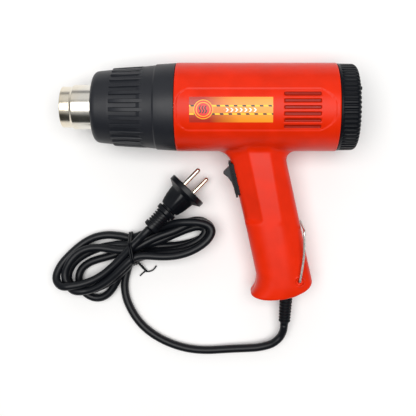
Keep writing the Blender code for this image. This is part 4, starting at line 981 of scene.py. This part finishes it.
def settle_lead(line, diameter):
    """Lets the lead drop onto the ground and onto itself, with its length kept and its ends held."""
    line = np.array(line, float)
    count = len(line)
    aim = line.copy()
    steps = np.linalg.norm(np.diff(line, axis=0), axis=1)
    held = np.zeros(count, bool)
    held[:4] = held[-3:] = True
    free = ~held
    along = np.concatenate([[0.0], np.cumsum(steps)])
    pull = np.where(along < HANK_START, 0.30, 0.11)[:, None]
    ahead, across = TIE_AHEAD[:2], TIE_ACROSS[:2]
    rounds = SETTLE_ROUNDS
    floor = diameter / 2.0 + GROUND_GAP
    for k in range(rounds):
        late = k / rounds
        line[free, 2] -= 0.10 if late < 0.9 else 0.03
        for reach, share, lift in STIFFNESS:
            inner = slice(reach, count - reach)
            bend = np.zeros_like(line)
            bend[inner] = 0.5 * (line[2 * reach:] + line[:-2 * reach]) - line[inner]
            stiff = np.zeros_like(line)
            stiff[inner] = bend[inner] - 0.5 * (bend[2 * reach:] + bend[:-2 * reach])
            line[free, :2] += share * stiff[free, :2]
            line[free, 2] += lift * bend[free, 2]
        line[free, :2] += (pull * (aim - line)[:, :2])[free]
        offset = line[:, :2] - TIE_AT
        near_tie = (np.abs(offset @ ahead) < TIE_NEAR) & (along > HANK_START) & free
        u = offset @ across
        over = np.sign(u) * np.maximum(np.abs(u) - (TIE_HALF - diameter / 2.0), 0.0)
        line[near_tie, :2] -= 0.3 * over[near_tie, None] * across
        line[near_tie, 2] -= 0.12
        span = np.diff(line, axis=0)
        size = np.linalg.norm(span, axis=1)
        ease = 0.25 * ((size - size.mean()) / np.maximum(size, 1e-9))[:, None] * span
        line[:-1][free[:-1]] += ease[free[:-1]]
        line[1:][free[1:]] -= ease[free[1:]]
        if k % PAIRS_EVERY == 0:
            first, second = close_pairs(line, 1.5 * diameter)
        for _ in range(3):
            gap = line[first] - line[second]
            far = np.linalg.norm(gap, axis=1) + 1e-9
            gap[:, 2] *= 1.5
            size = np.linalg.norm(gap, axis=1) + 1e-9
            push = np.where(far < diameter, 0.32 * (diameter - far) / size, 0.0)[:, None] * gap
            move = np.zeros_like(line)
            np.add.at(move, first, push)
            np.add.at(move, second, -push)
            line[free] += move[free]
            line[free, 2] = np.maximum(line[free, 2], floor)
    line[1:-1] += 0.25 * (0.5 * (line[2:] + line[:-2]) - line[1:-1])
    return curve_through(line, diameter * 0.28)


def close_pairs(line, reach):
    """Pairs of points of the line that are near each other and not along it."""
    far = np.linalg.norm(line[:, None] - line[None], axis=2)
    first, second = np.nonzero(far < reach)
    apart = second - first > 8
    return first[apart], second[apart]


def tie_ring(line, diameter):
    """The closed line of the wire that lies tight round the strands at the tie."""
    middle = np.array((*TIE_AT, 0.0))
    offset = line - middle
    near = (np.abs(offset @ TIE_AHEAD) < 1.6) & (np.abs(offset @ TIE_ACROSS) < 24.0)
    flat = np.stack([offset[near] @ TIE_ACROSS, offset[near, 2]], axis=1)
    turns = np.arange(0.0, tau, tau / 16)
    reach = diameter / 2.0 + TIE_WIRE + 0.1
    ringed = (flat[:, None] + reach * np.stack([np.cos(turns), np.sin(turns)], axis=1)[None]).reshape(-1, 2)
    ringed[:, 1] = np.maximum(ringed[:, 1], TIE_WIRE + 0.05)
    hull = hull_of(ringed)
    return [middle + u * TIE_ACROSS + np.array((0.0, 0.0, z)) for u, z in hull]


def hull_of(points):
    """The convex outline of flat points, in order."""
    ordered = sorted(map(tuple, np.round(points, 3)))
    halves = []
    for run in (ordered, ordered[::-1]):
        chain = []
        for p in run:
            while len(chain) > 1 and ((chain[-1][0] - chain[-2][0]) * (p[1] - chain[-2][1])
                                      - (chain[-1][1] - chain[-2][1]) * (p[0] - chain[-2][0])) <= 0.0:
                chain.pop()
            chain.append(p)
        halves += chain[:-1]
    return halves


# ---------------------------------------------------------------- operators

class OBJECT_OT_heat_gun_finishes(bpy.types.Operator):
    """Makes every material and gives the frame's own nodes theirs"""
    bl_idname = "object.heat_gun_finishes"
    bl_label = "Finishes"

    def execute(self, context):
        made = finishes(context.scene.heat_gun_colours)
        for slot, material in made.items():
            MATERIAL_NAMES[slot] = material.name
        RECORD_SLOTS.update(entry["slot"] for entry in frame["record"]["materials"])
        for name, node in frame["nodes"].items():
            for holder in node.material_slots:
                known = [slot for slot in made if holder.material and holder.material.name.startswith(slot)]
                holder.material = made[known[0] if known else "black_plastic"]
        return {"FINISHED"}


class OBJECT_OT_heat_gun_stage(bpy.types.Operator):
    """Makes the floor, the studio lights and the camera"""
    bl_idname = "object.heat_gun_stage"
    bl_label = "Stage"

    def execute(self, context):
        camera = bpy.data.cameras.new("camera")
        camera.lens, camera.sensor_width = CAMERA_LENS, 36.0
        camera.shift_x, camera.shift_y = CAMERA_SHIFT
        camera.clip_start, camera.clip_end = 0.05, 20.0
        holder = linked("camera", camera)
        holder.location = CAMERA_AT
        context.scene.camera = holder
        reach = FLOOR_REACH
        self.sheet("floor", "floor_paint", 0.004, (0.90, 0.90, 0.90), (0.93, 0.93, 0.93),
                   [(x, y, FLOOR_LEVEL) for x,
                    y in ((-reach, -reach), (reach, -reach), (reach, reach), (-reach, reach))])
        wide, (low, high) = CARD_HALF_WIDTH, CARD_LEVELS
        # A dark card beyond the handle, seen only in what the nozzle and the lead mirror
        card = self.sheet("card", "card_cloth", 0.05, (0.008, 0.009, 0.008), (0.014, 0.015, 0.014),
                          [(x, CARD_AT, z) for x,
                           z in ((-wide, low), (wide, low), (wide, high), (-wide, high))])
        card.visible_camera = False
        for name, at, width, height, power in LAMPS:
            lamp = bpy.data.lights.new(name, "AREA")
            lamp.shape, lamp.color = "RECTANGLE", LAMP_COLOUR
            lamp.size, lamp.size_y, lamp.energy = width, height, power
            holder = linked(name, lamp)
            holder.location = at
            holder.rotation_euler = (-Vector(at)).to_track_quat("-Z", "Y").to_euler()
        world = bpy.data.worlds.new("studio")
        world.use_nodes = True
        background = world.node_tree.nodes["Background"]
        background.inputs["Color"].default_value = WORLD_COLOUR
        background.inputs["Strength"].default_value = WORLD_STRENGTH
        context.scene.world = world
        context.scene.view_settings.view_transform = "Standard"
        return {"FINISHED"}

    def sheet(self, name, finish, per_mm, dark, light, corners):
        """A flat sheet of the stage in a matt paint or cloth that varies a little."""
        matt = Finish(finish)
        cloud = matt.noise(per_mm, 2.0, "ground")
        matt.set(Base_Color=matt.mix(matt.ramp(cloud, 0.3, 0.7), dark, light), Roughness=0.9)
        mesh = plain_mesh(name, corners, [(0, 1, 2, 3)])
        mesh.materials.append(matt.material)
        made = linked(name, mesh)
        return made


class OBJECT_OT_heat_gun_lead(bpy.types.Operator):
    """Lays the lead from the strain relief through its tied hank to the plug"""
    bl_idname = "object.heat_gun_lead"
    bl_label = "Lead, tie and plug"

    def execute(self, context):
        diameter = context.scene.heat_gun_sizes.cord_diameter / MM
        line = lead_line(diameter)
        lead = piece("lead", *sweep(line, diameter / 2.0, 14), "cord_rubber", GROUND_PLACE,
                     replaces=("cord_lead", "cord_hank", "cord_tail"))
        tie = self.make_tie(line, diameter)
        plug = self.make_plug()
        pins = self.make_pins()
        return {"FINISHED"}

    def make_tie(self, line, diameter):
        ring = curve_through(tie_ring(line, diameter), 1.2, closed=True)
        along = TIE_AHEAD * TIE_WIRE * 1.1
        parts = [sweep(ring + along, TIE_WIRE, 8, closed=True),
                 sweep(ring - along, TIE_WIRE, 8, closed=True)]
        start, end = (np.array(p, float) for p in TWIST_ENDS)
        low = ring[np.argmin(np.linalg.norm(ring - start, axis=1))]
        ahead = (end - start) / np.linalg.norm(end - start)
        side = np.cross(ahead, (0.0, 0.0, 1.0))
        up = np.cross(side, ahead)
        for k, tail in enumerate(TWIST_TAILS):
            t = np.linspace(0.0, 1.0, 22)[:, None]
            turn = t * tau * 2.5 + k * pi
            twist = start + (end - start) * t + 0.75 * TIE_WIRE * (np.cos(turn) * side + np.sin(turn) * up)
            path = curve_through([low, *twist, *tail], 0.9)
            path[:, 2] = np.maximum(path[:, 2], TIE_WIRE * 0.8)
            parts.append(sweep(path, TIE_WIRE * 0.75, 8))
        return piece("wire_tie", *joined(*parts), "black_plastic", GROUND_PLACE, replaces=("twist_tie",))

    def frame_of_plug(self):
        ahead = Vector((cos(PLUG_AXIS), sin(PLUG_AXIS), 0.0))
        flat = Vector((-sin(PLUG_AXIS), cos(PLUG_AXIS), 0.0))
        axis = cos(PLUG_PITCH) * ahead - sin(PLUG_PITCH) * Vector((0.0, 0.0, 1.0))
        row = cos(PLUG_ROLL) * axis.cross(flat) + sin(PLUG_ROLL) * flat
        return axis, row, row.cross(axis)

    def make_plug(self):
        """Round face, a grip that narrows to a lugged collar, and a slotted boot with an end ring."""
        axis, row, side = self.frame_of_plug()
        disc = 2.5
        # Each station: place along the plug, half width, half height and how square it is
        stations = [(disc, 16.7, 16.7, 2.0), (disc - 0.2, 17.2, 17.2, 2.0), (disc - 0.6, 17.5, 17.5, 2.0),
                    (-disc + 0.6, 17.5, 17.5, 2.0), (-disc + 0.2, 17.2, 17.2, 2.0),
                    (-disc, 16.7, 16.7, 2.0),
                    (-5.4, 12.4, 10.2, 2.6), (-6.2, 11.6, 9.2, 4.0), (-13.0, 9.9, 8.2, 5.5),
                    (-19.6, 8.2, 7.1, 5.5), (-21.0, 7.7, 6.6, 4.0), (-21.3, 6.6, 6.2, 2.6),
                    (-22.5, 6.5, 6.1, 2.4),
                    (-22.8, 7.8, 7.4, 3.0), (-23.3, 8.3, 7.8, 3.2), (-26.4, 8.1, 7.6, 3.2),
                    (-26.8, 7.6, 7.2, 3.0),
                    (-27.1, 6.2, 6.2, 2.2)]
        boot = disc - PLUG_LENGTH
        pitch = (BOOT_START - boot - 4.2) / BOOT_SLOTS
        for k in range(BOOT_SLOTS):
            at = BOOT_START - k * pitch
            r = 6.7 - 0.12 * k
            stations += [(at, r - 0.1, r - 0.1, 2.6), (at - 0.2, r, r, 2.6), (at - 0.56 * pitch, r, r, 2.6),
                         (at - 0.62 * pitch, r - 0.2, r - 0.2, 2.6),
                         (at - 0.66 * pitch, r - 0.9, r - 0.9, 2.2),
                         (at - 0.94 * pitch, r - 0.9, r - 0.9, 2.2)]
        stations += [(boot + 4.0, 5.4, 5.4, 2.2), (boot + 3.8, 6.8, 6.8, 2.4), (boot + 0.5, 6.6, 6.6, 2.4),
                     (boot, 6.0, 6.0, 2.2), (boot - 0.1, 3.7, 3.7, 2.0)]
        points = []
        for at, wide, high, power in stations:
            for a in (tau * k / PLUG_SIDES for k in range(PLUG_SIDES)):
                c, s = cos(a), sin(a)
                grow_by = (abs(c) ** power + abs(s) ** power) ** (-1.0 / power)
                points.append(PLUG_FACE + at * axis + wide * grow_by * c * row + high * grow_by * s * side)
        solid = outward(points, ring_faces(len(stations), PLUG_SIDES))
        return piece("plug_grip", *solid, "cord_rubber", GROUND_PLACE, sharp=32, replaces=("plug_body",))

    def make_pins(self):
        axis, row, _ = self.frame_of_plug()
        parts = []
        for sign in (-1.0, 1.0):
            root = PLUG_FACE + sign * PIN_SPACING / 2.0 * row
            stations = [(0.0, PIN_R), (PIN_LENGTH - 1.9, PIN_R), (PIN_LENGTH - 0.9, PIN_R * 0.86),
                        (PIN_LENGTH - 0.3, PIN_R * 0.55), (PIN_LENGTH, PIN_R * 0.2)]
            path = [root + at * axis for at, _ in stations]
            parts.append(sweep(path, [r for _, r in stations], 20))
        return piece("plug_pins", *joined(*parts), "pin_nickel", GROUND_PLACE, sharp=50,
                     replaces=("plug_pin_1", "plug_pin_2"))


class OBJECT_OT_heat_gun_shells(bpy.types.Operator):
    """Skins the two moulded halves of the barrel and handle"""
    bl_idname = "object.heat_gun_shells"
    bl_label = "Moulded shells"

    def execute(self, context):
        sizes = context.scene.heat_gun_sizes
        step = sizes.shell_grid / MM * 1.0
        for name, side, node in (("shell_near", 1.0, "housing_near"), ("shell_far", -1.0, "housing_far")):
            low, high = (-50.0, -166.0, -1.2 if side > 0 else -38.6), (85.0, 38.6,
                                                                       38.6 if side > 0 else 1.2)
            points, faces = skinned(shell_distance(side, sizes.barrel_radius / MM), low, high, step)
            dress(name, mesh_of(name, points, faces), "red_plastic", replaces=(node,))
        return {"FINISHED"}


class OBJECT_OT_heat_gun_nose(bpy.types.Operator):
    """Turns the steel nozzle and the ribbed front collar"""
    bl_idname = "object.heat_gun_nose"
    bl_label = "Nozzle and collar"

    def execute(self, context):
        t = NOZZLE_WALL
        tube = [(NOZZLE_TIP, NOZZLE_LIP_R), (NOZZLE_STEP - 0.4, NOZZLE_LIP_R),
                (NOZZLE_STEP + 1.0, NOZZLE_R),
                (NOZZLE_BACK, NOZZLE_R), (NOZZLE_BACK, NOZZLE_R - t), (NOZZLE_STEP + 1.4, NOZZLE_R - t),
                (NOZZLE_STEP, NOZZLE_LIP_R - t), (NOZZLE_TIP, NOZZLE_LIP_R - t)]
        piece("nozzle", *revolve(rounded(tube, 0.5, 3), 96), "polished_steel", sharp=60,
              replaces=("nozzle_tube",))
        mouth = NOZZLE_R + 0.9
        outer = [(COLLAR_FRONT, mouth), (COLLAR_FRONT, 25.1), (COLLAR_FRONT + 0.4, 26.9),
                 (COLLAR_FRONT + 1.4, 28.3),
                 (COLLAR_FRONT + 2.8, 29.2), (COLLAR_FRONT + 4.6, 29.6), (-100.7, 30.6),
                 (RIB_SPAN[0], 30.6),
                 (RIB_SPAN[1] - 2.0, 32.1), (RIB_SPAN[1] + 0.8, 33.3), (COLLAR_STEP - 0.8, 34.3),
                 (COLLAR_STEP + 0.4, 35.1), (HOUSING_FRONT - 0.3, 36.1)]
        inner = [(HOUSING_FRONT - 0.3, 33.4), (COLLAR_STEP, 32.4), (-100.0, 28.2),
                 (COLLAR_FRONT + 3.0, 26.0),
                 (COLLAR_FRONT + 2.6, mouth)]
        shell = revolve(rounded(outer + inner, 0.35, 2), 180)
        sizes = context.scene.heat_gun_sizes
        ribs = grow(round_tree(), self.rib(), {"Count": sizes.collar_ribs, "Start": 0.0}, "collar")
        piece("ribbed_collar", *joined(shell, ribs), "collar", sharp=38, replaces=("front_collar",))
        return {"FINISHED"}

    def rib(self):
        """One rib of the collar: square in front and fading into the cone behind."""
        x0, x1 = RIB_SPAN
        half_front, half_rear = 1.55, 1.7
        stations = ((x0, 31.7, half_front), (x0 + 0.35, 32.0, half_front), ((x0 + x1) / 2.0, 32.8, 1.62),
                    (x1, 33.5, half_rear), (x1 + 3.0, 33.55, half_rear * 0.8))
        points = []
        for x, top, half in stations:
            base = 30.2 + (x - x0) * 0.095
            soft = min(0.35, 0.5 * (top - base))
            for w, r in ((-half - 0.1, base), (-half, top - soft), (-half + soft, top), (half - soft, top),
                         (half, top - soft), (half + 0.1, base)):
                points.append((x, w, sqrt(max(r * r - w * w, 0.0))))
        return outward(points, ring_faces(len(stations), 6))


class OBJECT_OT_heat_gun_cap(bpy.types.Operator):
    """Makes the ribbed rear cap that turns to set the air"""
    bl_idname = "object.heat_gun_cap"
    bl_label = "Rear cap"

    def execute(self, context):
        ribs = context.scene.heat_gun_sizes.cap_ribs
        r, corner = CAP_R, CAP_CORNER
        outer = [(CAP_FRONT, r - 0.3, 0.0), (CAP_FRONT + 0.25, r, 0.0), (CAP_FRONT + 1.7, r, 0.0),
                 (CAP_FRONT + 2.0, r - 0.1, 0.15), (CAP_FRONT + 2.6, r - 0.15, 1.0),
                 (CAP_FRONT + 6.0, r - 0.2, 1.0),
                 (CAP_REAR - corner, r - 0.3, 1.0)]
        for k in range(1, 8):
            a = pi / 2.0 * (1.0 - k / 8.0)
            outer.append((CAP_REAR - corner + corner * cos(a), r - 0.3 - corner + corner * sin(a), 1.0))
        outer += [(CAP_REAR, r - corner - 1.2, 0.9), (CAP_REAR, r - corner - 2.2, 0.3),
                  (CAP_REAR, r - corner - 2.8, 0.0),
                  (CAP_REAR, 28.5, 0.0), (CAP_REAR, 7.2, 0.0), (CAP_REAR - 0.3, 7.0, 0.0),
                  (CAP_REAR - 2.2, 7.0, 0.0),
                  (CAP_REAR - 2.2, 4.1, 0.0), (CAP_REAR - 4.4, 4.1, 0.0), (CAP_REAR - 4.4, 9.0, 0.0),
                  (CAP_REAR - 2.4, 9.6, 0.0), (CAP_REAR - 2.4, 30.6, 0.0), (CAP_REAR - 5.0, r - 2.5, 0.0),
                  (CAP_FRONT, r - 2.4, 0.0)]
        points_per_rib = 12

        def shape(i, angles):
            x, radius, share = outer[i]
            if not share:
                return 0.0, 0.0
            turn = (angles * ribs / tau) % 1.0
            wave = eased(np.abs(turn - 0.5), 0.10, 0.30)
            lean = np.clip((x - (CAP_REAR - corner)) / corner, 0.0, 1.0)
            dip = -CAP_RIB_DEPTH * (1.0 - wave) * share
            return dip * lean ** 1.5, dip * np.sqrt(1.0 - lean ** 2 * 0.9)

        body = revolve([(x, radius) for x, radius, _ in outer], ribs * points_per_rib, shape=shape)
        holder = linked("cap", plain_mesh("cap", *body))
        slots = joined(*[self.slot((k + 0.5) * tau / CAP_SLOTS) for k in range(CAP_SLOTS)])
        tool = linked("slots", plain_mesh("slots", *slots))
        cutter = holder.modifiers.new("slots", "BOOLEAN")
        cutter.operation, cutter.solver, cutter.object = "DIFFERENCE", "EXACT", tool
        plain = bpy.data.meshes.new_from_object(holder.evaluated_get(context.evaluated_depsgraph_get()))
        bpy.data.objects.remove(holder)
        bpy.data.objects.remove(tool)
        low = Vector((CAP_REAR - 3.0, CAP_NUB_AT * cos(CAP_NUB_TURN), CAP_NUB_AT * sin(CAP_NUB_TURN)))
        nub = sweep([low + Vector((rise, 0, 0)) for rise in (0.0, 3.0, 3.5, 3.7)], [1.6, 1.6, 1.2, 0.3], 16)
        piece("ribbed_cap", *joined(lists_of(plain), nub), "black_plastic", body="air_regulator", sharp=40,
              replaces=("rear_cap",))
        return {"FINISHED"}

    def slot(self, middle):
        """One fan-shaped air slot."""
        half, steps = radians(10.0), 6
        inner, outer = CAP_SLOT_RADII
        points = []
        for x in (CAP_REAR - 8.0, CAP_REAR + 4.0):
            for radius, order in ((inner, 1), (outer, -1)):
                for k in range(steps + 1)[::order]:
                    a = middle - half + 2.0 * half * k / steps
                    points.append((x, radius * cos(a), radius * sin(a)))
        return outward(points, ring_faces(2, 2 * (steps + 1)))


class OBJECT_OT_heat_gun_fittings(bpy.types.Operator):
    """Makes the switch, its rocker, the hanger wire, the strain relief and the cap screw"""
    bl_idname = "object.heat_gun_fittings"
    bl_label = "Switch, hanger and relief"

    def execute(self, context):
        softened("switch_frame", "switch_body", "black_plastic", 0.35)
        softened("switch_key", "rocker", "collar", 0.3, body="rocker_key")
        self.make_hanger()
        self.make_relief(context.scene.heat_gun_sizes.relief_rings)
        softened("cap_bolt", "cap_screw", "zinc_steel", 0.15)
        return {"FINISHED"}

    def make_hanger(self):
        px, py = HANGER_PIVOT
        tx, ty = HANGER_TOP
        low, high = HANGER_LEVELS
        dx, dy = tx - px, ty - py
        near = [(px, py, 13.5), (px, py, low - 1.6), (px + 0.02 * dx, py + 0.02 * dy, low - 0.4),
                (px + 0.05 * dx, py + 0.05 * dy, low), (px + 0.5 * dx + 1.2, py + 0.5 * dy, low + 0.7),
                (px + 0.92 * dx, py + 0.92 * dy, high), (px + 0.98 * dx, py + 0.98 * dy, high - 1.2),
                (tx, ty, high - 4.0), (tx, ty, 7.0)]
        route = [*near, *[(x, y, -z) for x, y, z in reversed(near)]]
        piece("hanger", *sweep(curve_through(route, 0.8), HANGER_R, 14), "zinc_steel", body="hanger",
              replaces=("hanger_wire",))

    def make_relief(self, rings):
        """A sleeve with a flange inside the handle, and rings that shrink towards the lead."""
        axis = RELIEF_TIP - RELIEF_ROOT
        length = axis.length
        core = [(-8.0, 3.6), (-8.0, RELIEF_R + 2.4), (-6.0, RELIEF_R + 2.4), (-6.0, RELIEF_R - 0.9),
                (4.0, RELIEF_R - 0.9),
                (length - 1.0, RELIEF_R - 1.9), (length, RELIEF_R - 2.0), (length, 3.55)]
        sleeve = revolve(rounded(core, 0.3, 2), 40, RELIEF_ROOT, axis)
        first = 3.6
        pitch = (length - first - 0.8) / rings
        start = RELIEF_ROOT + axis.normalized() * first
        ring = [(0.0, 3.8), (0.1, RELIEF_R - 0.4), (0.5, RELIEF_R), (pitch * 0.52, RELIEF_R),
                (pitch * 0.66, RELIEF_R - 0.4),
                (pitch * 0.70, 3.8)]
        unit = revolve(ring, 40, (0.0, 0.0, 0.0), axis)
        along = axis.normalized() * pitch
        made = grow(row_tree(), unit, {"Count": rings, "Pitch": tuple(along), "Taper": 0.013},
                    "cord_rubber")
        made = [tuple(Vector(p) + start) for p in made[0]], made[1]
        piece("relief_sleeve", *joined(sleeve, made), "cord_rubber", sharp=40, replaces=("strain_relief",))


def softened(name, node, slot, width, body="gun"):
    """A copy of a frame node with its doubles merged and its edges rounded."""
    mesh = frame["nodes"][node].data.copy()
    bm = bmesh.new()
    bm.from_mesh(mesh)
    bmesh.ops.remove_doubles(bm, verts=bm.verts, dist=1e-6)
    bmesh.ops.dissolve_limit(bm, angle_limit=radians(1.0), verts=bm.verts, edges=bm.edges)
    bmesh.ops.recalc_face_normals(bm, faces=bm.faces)
    bm.to_mesh(mesh)
    bm.free()
    made = dress(name, mesh, slot, Matrix.Identity(4), body, 30, (node,))
    bevel = made.modifiers.new("edges", "BEVEL")
    bevel.width, bevel.segments, bevel.limit_method, bevel.angle_limit = width * MM, 3, "ANGLE", radians(28.0)
    bevel.harden_normals = True
    return made


class VIEW3D_PT_heat_gun(bpy.types.Panel):
    bl_label = "Heat Gun"
    bl_idname = "VIEW3D_PT_heat_gun"
    bl_space_type = "VIEW_3D"
    bl_region_type = "UI"
    bl_category = "Heat Gun"

    def draw(self, context):
        for group in (context.scene.heat_gun_sizes, context.scene.heat_gun_colours):
            for name in group.__annotations__:
                self.layout.prop(group, name)
        for operator in OPERATORS:
            self.layout.operator(operator.bl_idname)


OPERATORS = (OBJECT_OT_heat_gun_finishes, OBJECT_OT_heat_gun_stage, OBJECT_OT_heat_gun_lead,
             OBJECT_OT_heat_gun_shells,
             OBJECT_OT_heat_gun_nose, OBJECT_OT_heat_gun_cap, OBJECT_OT_heat_gun_fittings)
CLASSES = (HeatGunSizes, HeatGunColours, *OPERATORS, VIEW3D_PT_heat_gun)


def register():
    for made in CLASSES:
        bpy.utils.register_class(made)
    bpy.types.Scene.heat_gun_sizes = PointerProperty(type=HeatGunSizes)
    bpy.types.Scene.heat_gun_colours = PointerProperty(type=HeatGunColours)


def unregister():
    del bpy.types.Scene.heat_gun_sizes
    del bpy.types.Scene.heat_gun_colours
    for made in reversed(CLASSES):
        bpy.utils.unregister_class(made)


def main():
    register()
    bpy.ops.object.heat_gun_finishes()
    bpy.ops.object.heat_gun_stage()
    bpy.ops.object.heat_gun_lead()
    bpy.ops.object.heat_gun_shells()
    bpy.ops.object.heat_gun_nose()
    bpy.ops.object.heat_gun_cap()
    bpy.ops.object.heat_gun_fittings()


if __name__ == "__main__":
    main()
